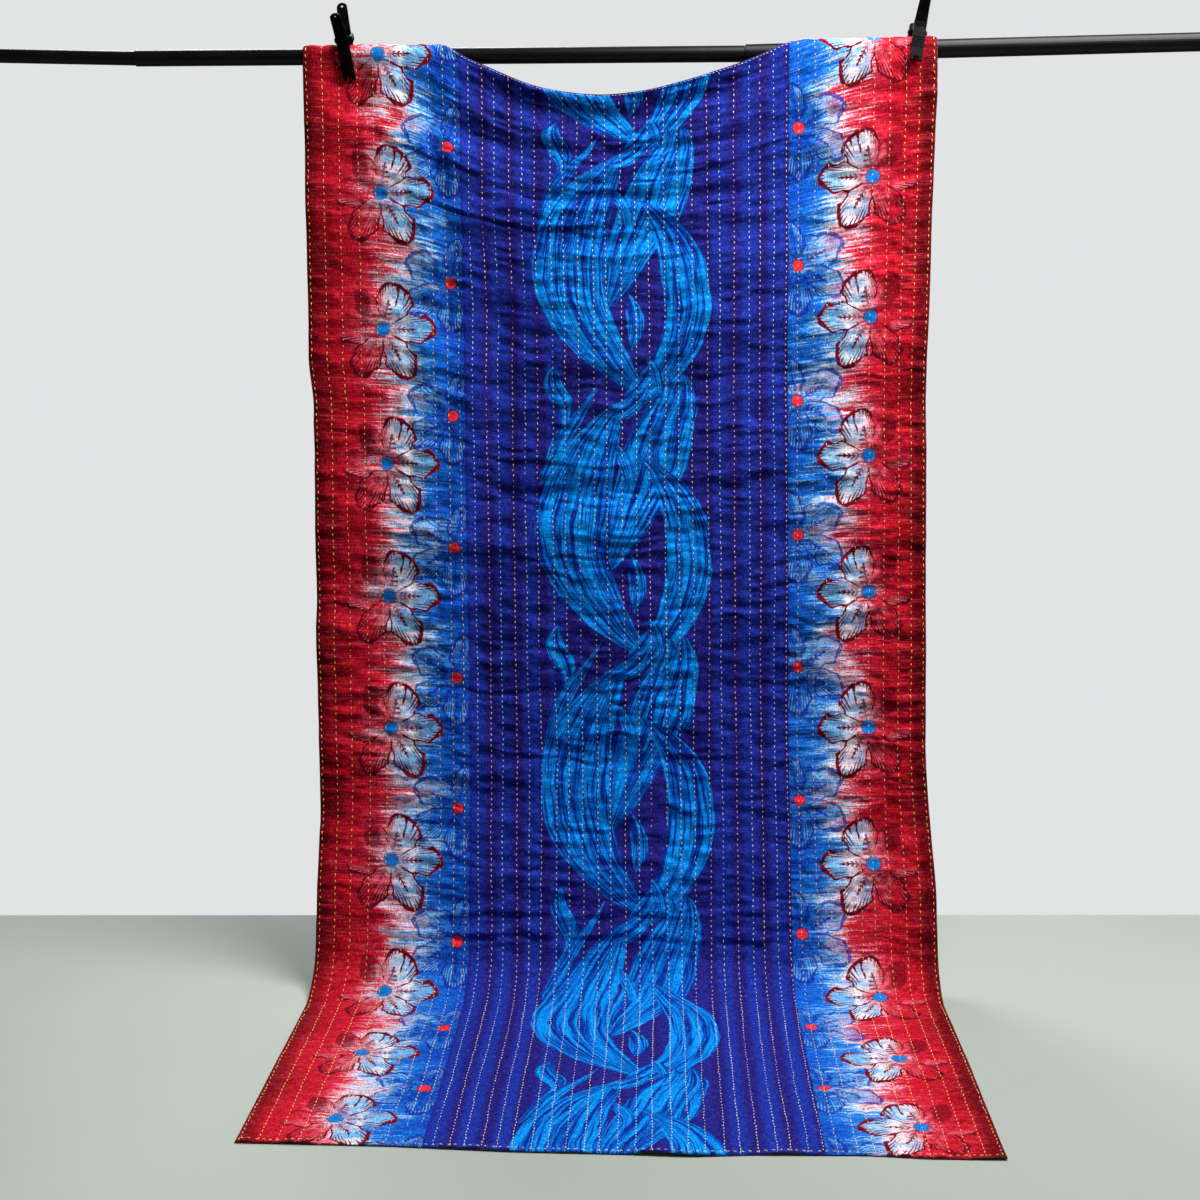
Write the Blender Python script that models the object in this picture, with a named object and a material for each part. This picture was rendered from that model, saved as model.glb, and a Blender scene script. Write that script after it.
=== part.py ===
"""Kantha quilt hung over a telescoping crossbar by two spring clamps.

The quilt is one stitched sheet: its top corners lap over the bar, its top hem sags in front of
the bar between them, and its lower end turns forward and lies on the floor. Metres, +Z up, the
printed face towards -Y. The origin is the middle of the whole part's footprint, on the floor.
"""

import math

import bmesh
import bpy
import numpy as np
from mathutils import Matrix, Vector

# ---------------------------------------------------------------- driving dimensions
QUILT_WIDTH = 1.12
QUILT_THICKNESS = 0.0024        # at a row of stitches
CHANNEL_RISE = 0.0016           # how far the cloth puffs up between two rows of stitches
BAR_REST_GAP = 0.0023           # cloth to bar, at the facets' corners
FACE_GAP = 0.0003               # between pieces that meet

CORNER_LAP = -0.058             # where the top hem lies at the corners, behind the bar's crown
SAG_LENGTH = 0.30               # the sagging of the top hem has died out this far down
FALL_CURVE = 0.0745             # radius of the turn at the floor, and of the chain curve above it
CREASED_FROM = 0.035            # creases begin here below the crown and are full after CREASED_FADE
CREASED_FADE = 0.050
SMOOTH_FROM = 1.60              # they fade from here to nothing at SMOOTH_TO, above the floor's turn
SMOOTH_TO = 1.72
HEM_EVEN_FROM = 1.90            # below this the cloth takes up the bottom hem's unevenness

# The bar's three telescoping sections: name, left end, right end, diameter.
BAR_SECTIONS = (
    ("bar_left", -1.150, -0.868, 0.0250),
    ("bar_middle", -0.868, 0.228, 0.0285),
    ("bar_right", 0.228, 1.150, 0.0325),
)
# The bar's axis bends a little at its two joints: place across, height above the floor.
BAR_AXIS = ((-1.150, 1.6842), (-0.868, 1.6742), (0.228, 1.6630), (1.150, 1.6704))
SOCKET_DEPTH = 0.018
SOCKET_CLEARANCE = 0.0006
BAR_CHAMFER = 0.0008
BAR_SIDES = 32
BAR_STEP_EASED = (-0.05, 0.20)  # the cloth eases over the step to the wider section between these

# Top hem: place across, distance along the cloth from the bar's crown (behind it is negative).
TOP_HEM = (
    (-0.560, -0.058), (-0.430, -0.050), (-0.360, -0.026), (-0.310, 0.008), (-0.271, 0.034),
    (-0.232, 0.050), (-0.196, 0.067), (-0.161, 0.081), (-0.126, 0.091), (-0.069, 0.100),
    (-0.022, 0.103), (0.020, 0.100), (0.065, 0.094), (0.142, 0.075), (0.219, 0.051), (0.257, 0.036),
    (0.300, 0.018), (0.350, -0.004), (0.400, -0.026), (0.460, -0.044), (0.560, -0.050),
)
# Bottom hem: place across, distance along the cloth from the bar's crown.
BOTTOM_HEM = (
    (-0.560, 2.287), (-0.330, 2.294), (-0.150, 2.308), (0.020, 2.313), (0.108, 2.319),
    (0.200, 2.312), (0.366, 2.313), (0.450, 2.323), (0.560, 2.326),
)
# Side edges: distance along the cloth, how far the left and right edges stand outwards.
SIDE_EDGES = (
    (-0.06, 0.000, 0.004), (0.10, 0.000, 0.006), (0.45, 0.003, -0.003), (0.58, 0.004, -0.008),
    (0.64, -0.004, -0.008), (1.10, 0.000, -0.007), (1.30, -0.003, -0.008), (1.42, -0.003, -0.001),
    (1.55, -0.001, 0.006), (1.75, 0.001, 0.002), (2.00, 0.001, 0.003), (2.33, 0.000, 0.000),
)
# Rows of running stitch, in bands from left to right: spaces in the band, their width.
STITCH_BANDS = ((5, 0.0306), (11, 0.0233), (15, 0.0254), (4, 0.0222), (9, 0.0262))
ROW_WANDER = 0.0016             # a row's place strays by this, in turns of ROW_WANDER_STEP radians
ROW_WANDER_STEP = 2.3

# Main creases across the cloth: distance down the cloth, middle, half length, rise of the ends,
# slope to the right, depth and half width of the trough.
CREASES = (
    (0.125, 0.02, 0.42, 0.018, 0.00, 0.0055, 0.021),
    (0.262, 0.05, 0.44, 0.018, 0.03, 0.0070, 0.024),
    (0.350, -0.12, 0.30, 0.012, 0.01, 0.0050, 0.022),
    (0.610, -0.06, 0.34, 0.008, 0.01, 0.0060, 0.024),
    (0.810, 0.05, 0.42, 0.010, 0.03, 0.0065, 0.024),
    (1.160, -0.02, 0.40, 0.006, 0.01, 0.0060, 0.024),
    (1.290, -0.10, 0.34, 0.004, -0.02, 0.0050, 0.024),
    (1.600, 0.00, 0.66, 0.002, 0.00, 0.0070, 0.036),
)
# Long soft hollows (and one swell) down the cloth: middle at its top and at its foot, half width,
# from, to, depth.
HOLLOWS = (
    (-0.215, -0.250, 0.038, 0.50, 1.20, 0.0065),
    (0.360, 0.290, 0.050, 0.25, 0.75, 0.0040),
    (0.420, 0.455, 0.040, 0.95, 1.45, 0.0040),
    (-0.060, 0.040, 0.090, 0.35, 1.45, -0.0050),
)
HOLLOW_FADE = 0.22
HOLLOW_WANDER = 0.010           # a hollow strays sideways by this, once in HOLLOW_WANDER_LENGTH
HOLLOW_WANDER_LENGTH = 0.62
# The right edge curls back: width of the curl, how far it turns back, from, to.
EDGE_CURL = (0.030, 0.007, 0.30, 1.55)
EDGE_CURL_FADE = 0.15
# The free top hem stands forward and the cloth below it is drawn in: distance below the hem, reach.
HEM_WAVES = ((0.0, 0.006), (0.036, -0.004))
HEM_WAVE_WIDTH = 0.016
HEM_FREE = (0.030, 0.070)       # a hem that hangs this far below the crown is clear of the bar

# Distances down the cloth at which the surface is given a line of corners, corner lap to hem.
CLOTH_LINES = (
    -0.058, -0.046, -0.034, -0.022, -0.010, 0.002, 0.014, 0.026, 0.040, 0.055, 0.070, 0.086,
    0.104, 0.125, 0.150, 0.240, 0.262, 0.284, 0.330, 0.350, 0.372, 0.480, 0.588, 0.610, 0.632,
    0.788, 0.810, 0.832, 1.000, 1.138, 1.160, 1.182, 1.268, 1.290, 1.312, 1.500, 1.566, 1.600,
    1.634, 1.690, 1.735, 1.765, 1.900, 2.320,
)

# Clamps: name, place across, lean along the bar, lean forward about the bar.
CLAMPS = (
    ("clamp_left", -0.484, math.radians(-6.5), math.radians(20.0)),
    ("clamp_right", 0.530, math.radians(10.0), math.radians(-22.0)),
)
# Where a leaning jaw presses the cloth in under the bar: place across, then the distances along
# the cloth at which the dent begins, is full and has gone, and how deep it is.
DENTS = (
    (-0.484, 0.028, 0.073, 0.150, 0.0185),
    (0.530, -0.033, -0.054, -0.120, 0.0080),
)
DENT_HALF_WIDTH = 0.023
DENT_FADE = 0.034
ARM_WIDTH = 0.022
PIVOT_GAP = 0.0007              # pivot ears above the cloth on the bar's crown
EAR_RADIUS = 0.0075
EAR_STEPS = 8
EAR_ROOT = 0.0022               # how deep an ear's flanks end inside its arm
EAR_ROOT_UP = 0.0110            # the flanks meet the arm from this far above the pivot
EAR_ROOT_DOWN = 0.0060          # to this far below it
BRIDGE_DEPTH = (0.0005, 0.0060) # the web that carries the outer ears, outwards of the cloth's face
BRIDGE_OVERLAP = 0.0040         # how far the web reaches into its arm
BRIDGE_INSET = 0.0004           # how far it stays inside its ear
INNER_EAR = (0.0070, 0.0108)    # the front arm's ears, from the clamp's middle
OUTER_EAR = (0.0113, 0.0150)    # the rear arm's ears, outside them
PIN_RADIUS = 0.0022
PIN_HEAD_RADIUS = 0.0048
PIN_HEAD_LENGTH = 0.0018
PIN_HEAD_CHAMFER = 0.0008
ROUND_SIDES = 16
HANG_HOLE_RADIUS = 0.0028
HANG_HOLE_INSET = 0.0065        # the hole's middle from the handle's end
HANG_HOLE_SIDES = 12
FORK_GAP = 0.0090               # between the two prongs of an arm's tip
FORK_DEPTH = 0.0070
CUTTER_REACH = 0.018            # how far a cutter reaches past what it cuts
ARM_THICKNESS = 0.0050
# An arm's middle line from prong tips to handle end: outwards of the cloth's face, up.
ARM_LINE = (
    (0.0020, -0.036), (0.0026, -0.026), (0.0026, -0.012), (0.0026, 0.010), (0.0026, 0.020),
    (0.0014, 0.029), (0.0040, 0.040), (0.0130, 0.056), (0.0240, 0.072), (0.0320, 0.0845),
)
RIBBED_RUN = 2                  # the arm's grip ribs lie after this point of its middle line
RIB_COUNT = 5
RIB_HEIGHT = 0.0008
SPRING_TURNS = 4
SPRING_WIRE = 0.0018
# One turn's ridge in section: place along the wire's thickness, height out of the coil's middle.
SPRING_RIDGE = ((0.1, 0.0), (0.3, 0.5), (0.7, 0.5), (0.9, 0.0))

COLOURS = {
    "quilt": ((0.05, 0.04, 0.34, 1.0), 0.85, 0.0),
    "bar": ((0.012, 0.012, 0.014, 1.0), 0.42, 0.0),
    "clamp": ((0.010, 0.010, 0.011, 1.0), 0.55, 0.0),
    "steel": ((0.45, 0.45, 0.46, 1.0), 0.35, 1.0),
}


# ---------------------------------------------------------------- small helpers
def clear_scene():
    for obj in list(bpy.data.objects):
        bpy.data.objects.remove(obj, do_unlink=True)


def material(name):
    colour, roughness, metallic = COLOURS[name]
    made = bpy.data.materials.get(name)
    if made is None:
        made = bpy.data.materials.new(name)
        made.use_nodes = True
        shader = made.node_tree.nodes["Principled BSDF"]
        shader.inputs["Base Color"].default_value = colour
        shader.inputs["Roughness"].default_value = roughness
        shader.inputs["Metallic"].default_value = metallic
        made.diffuse_color = colour
    return made


def add_object(name, mesh, slot, parent=None):
    obj = bpy.data.objects.new(name, mesh)
    bpy.context.scene.collection.objects.link(obj)
    mesh.materials.append(material(slot))
    obj.parent = parent
    return obj


def mesh_from(name, points, faces):
    """A closed mesh of these points and faces, its faces turned to point outwards."""
    mesh = bpy.data.meshes.new(name)
    mesh.from_pydata([tuple(p) for p in points], [], faces)
    work = bmesh.new()
    work.from_mesh(mesh)
    bmesh.ops.recalc_face_normals(work, faces=work.faces)
    work.to_mesh(mesh)
    work.free()
    return mesh


def smoothed(value):
    """0 to 1 with level ends, for an array of values that is clipped to 0..1."""
    t = np.clip(value, 0.0, 1.0)
    return t * t * (3.0 - 2.0 * t)


def window(value, low, high, fade):
    """1 between low and high, falling smoothly to 0 over fade on each side."""
    return smoothed((value - low) / fade + 1.0) * smoothed((high - value) / fade + 1.0)


def column(table, index):
    return np.array([row[index] for row in table])


# ---------------------------------------------------------------- the bar
def bar_height(x):
    return np.interp(x, column(BAR_AXIS, 0), column(BAR_AXIS, 1))


def turned(name, profile, sides):
    """A closed body turned about X from (place along X, radius) points; radius 0 ends it."""
    points = []
    rings = []
    for x, radius in profile:
        if radius == 0.0:
            rings.append([len(points)])
            points.append((x, 0.0, 0.0))
            continue
        ring = []
        for k in range(sides):
            angle = 2.0 * math.pi * k / sides
            ring.append(len(points))
            points.append((x, radius * math.cos(angle), radius * math.sin(angle)))
        rings.append(ring)
    faces = []
    for first, second in zip(rings, rings[1:]):
        for k in range(sides):
            n = (k + 1) % sides
            if len(first) == 1:
                faces.append((first[0], second[k], second[n]))
            elif len(second) == 1:
                faces.append((first[k], second[0], first[n]))
            else:
                faces.append((first[k], second[k], second[n], first[n]))
    return mesh_from(name, points, faces)


def bar_profile(index):
    """Outline of one bar section from left to right: a socket for the thinner one, then its run."""
    _, left, right, diameter = BAR_SECTIONS[index]
    radius = diameter / 2.0
    end = right - left
    if index < len(BAR_SECTIONS) - 1:
        end += SOCKET_DEPTH - FACE_GAP
    if index == 0:
        profile = [(0.0, 0.0)]
    else:
        bore = BAR_SECTIONS[index - 1][3] / 2.0 + SOCKET_CLEARANCE
        profile = [(SOCKET_DEPTH, 0.0), (SOCKET_DEPTH, bore), (0.0, bore)]
    profile += [(0.0, radius - BAR_CHAMFER), (BAR_CHAMFER, radius)]
    profile += [(end - BAR_CHAMFER, radius), (end, radius - BAR_CHAMFER), (end, 0.0)]
    return profile


def build_bar(parent):
    for index, (name, left, right, _) in enumerate(BAR_SECTIONS):
        mesh = turned(name, bar_profile(index), BAR_SIDES)
        mesh.shade_smooth()
        mesh.set_sharp_from_angle(angle=math.radians(35))
        section = add_object(name, mesh, "bar", parent)
        start = Vector((left, 0.0, float(bar_height(left))))
        end = Vector((right, 0.0, float(bar_height(right))))
        lean = math.atan2(end.z - start.z, end.x - start.x)
        section.location = start
        section.rotation_euler = (0.0, -lean, 0.0)


# ---------------------------------------------------------------- the quilt's surface
def wrap_radius(u):
    """Distance of the cloth's middle from the bar's axis, easing from the thinner to the wider bar."""
    thin = BAR_SECTIONS[1][3] / 2.0
    wide = BAR_SECTIONS[2][3] / 2.0
    low, high = BAR_STEP_EASED
    eased = smoothed((u - low) / (high - low))
    return thin + (wide - thin) * eased + BAR_REST_GAP + QUILT_THICKNESS / 2.0


def top_hem(u):
    return np.interp(u, column(TOP_HEM, 0), column(TOP_HEM, 1))


def bottom_hem(u):
    return np.interp(u, column(BOTTOM_HEM, 0), column(BOTTOM_HEM, 1))


def along(u, w):
    """Distance from the bar's crown of cloth line w, which sags with the hem near the top."""
    start = top_hem(u)
    sagged = start + (w - CORNER_LAP) * (SAG_LENGTH - start) / (SAG_LENGTH - CORNER_LAP)
    hung = np.where(w < SAG_LENGTH, sagged, w)
    last = CLOTH_LINES[-1]
    spare = bottom_hem(u) - last
    return hung + spare * smoothed((w - HEM_EVEN_FROM) / (last - HEM_EVEN_FROM))


def path(s, wrap, axis_height):
    """(y, z) of the cloth's middle and its unit way down the cloth, s from the bar's crown.

    Behind the bar it hangs straight, it goes round the bar, and in front it falls as a chain
    does to a level start on the floor, where it lies flat.
    """
    quarter = wrap * math.pi / 2.0
    drop = axis_height - QUILT_THICKNESS / 2.0
    fall_length = np.sqrt((drop + FALL_CURVE) ** 2 - FALL_CURVE ** 2)
    top_reach = FALL_CURVE * np.arcsinh(fall_length / FALL_CURVE)
    left = fall_length - (s - quarter)
    hanging = np.maximum(left, 0.0)
    reach = FALL_CURVE * np.arcsinh(hanging / FALL_CURVE)
    front_y = -wrap - (top_reach - reach) + np.minimum(left, 0.0)
    front_z = np.sqrt(hanging ** 2 + FALL_CURVE ** 2) - FALL_CURVE + QUILT_THICKNESS / 2.0
    steep = np.sqrt(1.0 + (hanging / FALL_CURVE) ** 2)
    front_way = (-1.0 / steep, -(hanging / FALL_CURVE) / steep)

    angle = np.clip(s / wrap, -math.pi / 2.0, math.pi / 2.0)
    round_y = -wrap * np.sin(angle)
    round_z = axis_height + wrap * np.cos(angle)
    behind = s < -quarter
    round_z = np.where(behind, axis_height + (s + quarter), round_z)
    round_way = (-np.cos(angle), -np.sin(angle))

    in_front = s > quarter
    y = np.where(in_front, front_y, round_y)
    z = np.where(in_front, front_z, round_z)
    way_y = np.where(in_front, front_way[0], round_way[0])
    way_z = np.where(in_front, front_way[1], round_way[1])
    return y, z, way_y, way_z


def crease_depth(u, w):
    depth = np.zeros_like(u)
    for place, middle, half, rise, slope, deep, width in CREASES:
        off = (u - middle) / half
        line = place - rise * off ** 2 - slope * (u - middle)
        fade = np.clip(1.0 - off ** 2, 0.0, 1.0)
        depth += deep * fade * np.exp(-(((w - line) / width) ** 2))
    return depth


def hollow_depth(u, w):
    depth = np.zeros_like(u)
    for top, foot, half, low, high, deep in HOLLOWS:
        middle = top + (foot - top) * smoothed((w - low) / (high - low))
        middle = middle + HOLLOW_WANDER * np.sin(2.0 * math.pi * (w - low) / HOLLOW_WANDER_LENGTH)
        depth += deep * np.exp(-(((u - middle) / half) ** 2)) * window(w, low, high, HOLLOW_FADE)
    return depth


def curl_depth(u, w):
    width, deep, low, high = EDGE_CURL
    share = np.clip((u - (QUILT_WIDTH / 2.0 - width)) / width, 0.0, 1.0)
    return deep * share ** 2 * window(w, low, high, EDGE_CURL_FADE)


def dent_depth(u, s):
    """Where a clamp's jaw, leaning in under the bar, presses the cloth inwards."""
    depth = np.zeros_like(u)
    for place, begins, full, gone, deep in DENTS:
        across = window(u, place - DENT_HALF_WIDTH, place + DENT_HALF_WIDTH, DENT_FADE)
        in_share = np.clip((s - begins) / (full - begins), 0.0, 1.0)
        out_share = np.clip((s - gone) / (full - gone), 0.0, 1.0)
        depth += deep * across * in_share * out_share
    return depth


def hem_lean(u, s):
    """The free top hem between the bar's two rests stands forward of the fold below it."""
    below = s - top_hem(u)
    low, high = HEM_FREE
    free = smoothed((top_hem(u) - low) / (high - low))
    waves = np.zeros_like(below)
    for place, reach in HEM_WAVES:
        waves += reach * np.exp(-(((below - place) / HEM_WAVE_WIDTH) ** 2))
    return free * waves


def surface(u, w, height):
    """Points of the cloth at places u across and w down it, height above the cloth's middle."""
    u = np.asarray(u, dtype=float)
    w = np.asarray(w, dtype=float)
    s = along(u, w)
    y, z, way_y, way_z = path(s, wrap_radius(u), bar_height(u))
    creased = smoothed((s - CREASED_FROM) / CREASED_FADE)
    creased = creased * smoothed((SMOOTH_TO - s) / (SMOOTH_TO - SMOOTH_FROM))
    rise = -creased * (crease_depth(u, w) + hollow_depth(u, w) + curl_depth(u, w))
    rise += hem_lean(u, s) - dent_depth(u, s)
    left_out = np.interp(s, column(SIDE_EDGES, 0), column(SIDE_EDGES, 1))
    right_out = np.interp(s, column(SIDE_EDGES, 0), column(SIDE_EDGES, 2))
    share = u / (QUILT_WIDTH / 2.0)
    x = u + np.where(u > 0.0, right_out * share ** 3, left_out * share ** 3)
    total = rise + height
    return np.stack([x, y + way_z * total, z - way_y * total], axis=-1)


def stitch_rows():
    """Places across of the rows of stitches, edge to edge."""
    places = [0.0]
    for count, pitch in STITCH_BANDS:
        for _ in range(count):
            places.append(places[-1] + pitch)
    rows = np.array(places) / places[-1] * QUILT_WIDTH - QUILT_WIDTH / 2.0
    numbers = np.arange(len(rows))
    rows[1:-1] += ROW_WANDER * np.sin(ROW_WANDER_STEP * numbers[1:-1])
    return rows


def build_quilt(parent):
    rows = stitch_rows()
    lines = np.array(CLOTH_LINES)
    crests = (rows[:-1] + rows[1:]) / 2.0
    front_u = np.empty(2 * len(rows) - 1)
    front_u[0::2] = rows
    front_u[1::2] = crests
    puff = np.zeros(len(front_u))
    puff[1::2] = CHANNEL_RISE
    half = QUILT_THICKNESS / 2.0
    front_grid = np.meshgrid(front_u, lines)
    front = surface(front_grid[0], front_grid[1], half + np.broadcast_to(puff, front_grid[0].shape))
    back_grid = np.meshgrid(rows, lines)
    back = surface(back_grid[0], back_grid[1], -half)

    columns = len(front_u)
    count = len(lines)
    points = np.concatenate([front.reshape(-1, 3), back.reshape(-1, 3)])
    back_start = columns * count

    def front_at(i, j):
        return i * columns + j

    def back_at(i, j):
        return back_start + i * len(rows) + j

    faces = []
    for i in range(count - 1):
        for j in range(columns - 1):
            faces += two_triangles(points, front_at(i, j), front_at(i + 1, j), front_at(i + 1, j + 1),
                                   front_at(i, j + 1))
        for j in range(len(rows) - 1):
            faces += two_triangles(points, back_at(i, j), back_at(i, j + 1), back_at(i + 1, j + 1),
                                   back_at(i + 1, j))
        faces.append((front_at(i, 0), back_at(i, 0), back_at(i + 1, 0), front_at(i + 1, 0)))
        last = len(rows) - 1
        faces.append((front_at(i, 2 * last), front_at(i + 1, 2 * last), back_at(i + 1, last),
                      back_at(i, last)))
    for j in range(len(rows) - 1):
        faces.append((front_at(0, 2 * j), front_at(0, 2 * j + 1), front_at(0, 2 * j + 2),
                      back_at(0, j + 1), back_at(0, j)))
        end = count - 1
        faces.append((front_at(end, 2 * j + 2), front_at(end, 2 * j + 1), front_at(end, 2 * j),
                      back_at(end, j), back_at(end, j + 1)))
    mesh = mesh_from("quilt", points, faces)
    mesh.shade_smooth()
    mesh.set_sharp_from_angle(angle=math.radians(50))
    add_object("quilt", mesh, "quilt", parent)


def two_triangles(points, a, b, c, d):
    """Quad a, b, c, d cut along its shorter diagonal, so that it follows the bar's round."""
    if np.linalg.norm(points[a] - points[c]) <= np.linalg.norm(points[b] - points[d]):
        return [(a, b, c), (a, c, d)]
    return [(a, b, d), (b, c, d)]


# ---------------------------------------------------------------- the clamps
def prism(name, outline, low, high):
    """A body of one side-view outline of (y, z) points, from low to high across."""
    count = len(outline)
    points = [(low, y, z) for y, z in outline] + [(high, y, z) for y, z in outline]
    faces = [tuple(range(count)), tuple(range(2 * count - 1, count - 1, -1))]
    for k in range(count):
        n = (k + 1) % count
        faces.append((k, k + count, n + count, n))
    return mesh_from(name, points, faces)


def tool(name, mesh, owner):
    """A helper body for a Boolean, hidden from renders, in its owner's own frame."""
    obj = bpy.data.objects.new(name, mesh)
    bpy.context.scene.collection.objects.link(obj)
    obj.parent = owner.parent
    obj.matrix_local = owner.matrix_local
    obj.hide_render = True
    obj.display_type = "WIRE"
    return obj


def combine(owner, helper, operation):
    step = owner.modifiers.new(helper.name, "BOOLEAN")
    step.operation = operation
    step.object = helper
    step.solver = "EXACT"


def arm_outline(side, clearance):
    """Side view of an arm: its middle line thickened, thinner at the prongs, ribs outside."""
    line = [(side * (clearance + out), up) for out, up in ARM_LINE]
    outer = []
    inner = []
    for k, (y, z) in enumerate(line):
        before = line[max(k - 1, 0)]
        after = line[min(k + 1, len(line) - 1)]
        way = Vector((after[0] - before[0], after[1] - before[1])).normalized()
        out = Vector((way.y, -way.x)) * side
        half = ARM_THICKNESS / 2.0
        outer.append((y + out.x * half, z + out.y * half))
        inner.append((y - out.x * half, z - out.y * half))
    ribs = rib_points(outer[RIBBED_RUN], outer[RIBBED_RUN + 1], side)
    return outer[:RIBBED_RUN + 1] + ribs + outer[RIBBED_RUN + 1:] + inner[::-1]


def rib_points(start, end, side):
    """The teeth of the grip ribs along a straight stretch of an arm's outer side."""
    points = []
    for k in range(1, 4 * RIB_COUNT):
        share = k / (4.0 * RIB_COUNT)
        out = RIB_HEIGHT if k % 4 in (2, 3) else 0.0
        points.append((start[0] + (end[0] - start[0]) * share + side * out,
                       start[1] + (end[1] - start[1]) * share))
    return points


def disc_outline(centre, radius):
    turns = [2.0 * math.pi * (k + 0.5) / ROUND_SIDES for k in range(ROUND_SIDES)]
    return [(centre[0] + radius * math.cos(a), centre[1] + radius * math.sin(a)) for a in turns]


def ear_outline(side, clearance, pivot):
    """An ear from the arm to the pivot: a round end joined to the arm by straight flanks."""
    root = side * (clearance + EAR_ROOT)
    outline = [(root, pivot[1] + EAR_ROOT_UP)]
    for k in range(EAR_STEPS + 1):
        angle = math.pi / 2.0 + side * math.pi * k / EAR_STEPS
        outline.append((pivot[0] + EAR_RADIUS * math.cos(angle), pivot[1] + EAR_RADIUS * math.sin(angle)))
    outline.append((root, pivot[1] - EAR_ROOT_DOWN))
    return outline


def bridge_outline(side, clearance, pivot):
    """Side view of the web that carries an ear which stands outside its arm's own width."""
    inner, outer = (side * (clearance + depth) for depth in BRIDGE_DEPTH)
    low = pivot[1] - EAR_ROOT_DOWN
    high = pivot[1] + EAR_ROOT_UP - BRIDGE_INSET
    return [(inner, low), (outer, low), (outer, high), (inner, high)]


def fork_outline(side, clearance):
    """Side view of the slot between the two prongs, open below and past both faces."""
    face = side * clearance
    low = ARM_LINE[0][1] - CUTTER_REACH
    high = ARM_LINE[0][1] + FORK_DEPTH
    return [(face - CUTTER_REACH, low), (face + CUTTER_REACH, low), (face + CUTTER_REACH, high),
            (face - CUTTER_REACH, high)]


def build_arm(name, side, clearance, pivot, ears, parent):
    """One arm of a clamp, with two ears at its pivot, a forked tip and a hole in its handle."""
    half = ARM_WIDTH / 2.0
    arm = add_object(name, prism(name, arm_outline(side, clearance), -half, half), "clamp", parent)
    for sign in (-1, 1):
        low, high = sorted((sign * ears[0], sign * ears[1]))
        ear = prism("ear", ear_outline(side, clearance, pivot), low, high)
        combine(arm, tool(f"{name}_ear_{sign + 1}", ear, arm), "UNION")
        if ears[1] > half:
            low, high = sorted((sign * (half - BRIDGE_OVERLAP), sign * (ears[1] - BRIDGE_INSET)))
            bridge = prism("bridge", bridge_outline(side, clearance, pivot), low, high)
            combine(arm, tool(f"{name}_bridge_{sign + 1}", bridge, arm), "UNION")
    bore = prism("bore", disc_outline(pivot, PIN_RADIUS + FACE_GAP), -CUTTER_REACH, CUTTER_REACH)
    combine(arm, tool(f"{name}_bore", bore, arm), "DIFFERENCE")
    fork = prism("fork", fork_outline(side, clearance), -FORK_GAP / 2.0, FORK_GAP / 2.0)
    combine(arm, tool(f"{name}_fork", fork, arm), "DIFFERENCE")
    combine(arm, tool(f"{name}_hole", hang_hole(side, clearance), arm), "DIFFERENCE")


def hang_hole(side, clearance):
    """A cutter through the handle's end, square to the handle."""
    lower = Vector((side * (clearance + ARM_LINE[-2][0]), ARM_LINE[-2][1]))
    upper = Vector((side * (clearance + ARM_LINE[-1][0]), ARM_LINE[-1][1]))
    way = (upper - lower).normalized()
    centre = upper - way * HANG_HOLE_INSET
    across = Vector((0.0, -way.y, way.x))
    work = bmesh.new()
    bmesh.ops.create_cone(work, cap_ends=True, segments=HANG_HOLE_SIDES, radius1=HANG_HOLE_RADIUS,
                          radius2=HANG_HOLE_RADIUS, depth=2.0 * CUTTER_REACH)
    turn = Vector((0, 0, 1)).rotation_difference(across).to_matrix().to_4x4()
    move = Matrix.Translation((0.0, centre.x, centre.y))
    bmesh.ops.transform(work, matrix=move @ turn, verts=work.verts)
    mesh = bpy.data.meshes.new("hole")
    work.to_mesh(mesh)
    work.free()
    return mesh


def placed(mesh, pivot):
    mesh.transform(Matrix.Translation((0.0, pivot[0], pivot[1])))
    return mesh


def build_pin(name, pivot, parent):
    end = OUTER_EAR[1] + FACE_GAP
    tip = end + PIN_HEAD_LENGTH
    rounded = PIN_HEAD_RADIUS - PIN_HEAD_CHAMFER
    head = [(tip, 0.0), (tip, rounded), (tip - PIN_HEAD_CHAMFER, PIN_HEAD_RADIUS),
            (end, PIN_HEAD_RADIUS), (end, PIN_RADIUS)]
    profile = [(-x, radius) for x, radius in head] + head[::-1]
    add_object(name, placed(turned(name, profile, ROUND_SIDES), pivot), "steel", parent)


def build_spring(name, pivot, parent):
    """The spring's close coil round the pin, one ridge for each turn."""
    inner = PIN_RADIUS + FACE_GAP
    start = -SPRING_TURNS * SPRING_WIRE / 2.0
    section = []
    for turn in range(SPRING_TURNS):
        for share, height in SPRING_RIDGE:
            section.append((start + (turn + share) * SPRING_WIRE, inner + (0.5 + height) * SPRING_WIRE))
    section = [(section[0][0], inner)] + section + [(section[-1][0], inner)]
    points = []
    for x, radius in section:
        for k in range(ROUND_SIDES):
            angle = 2.0 * math.pi * k / ROUND_SIDES
            points.append((x, radius * math.cos(angle), radius * math.sin(angle)))
    faces = []
    for ring in range(len(section)):
        following = (ring + 1) % len(section)
        for k in range(ROUND_SIDES):
            n = (k + 1) % ROUND_SIDES
            faces.append((ring * ROUND_SIDES + k, following * ROUND_SIDES + k,
                          following * ROUND_SIDES + n, ring * ROUND_SIDES + n))
    add_object(name, placed(mesh_from(name, points, faces), pivot), "steel", parent)


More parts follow.
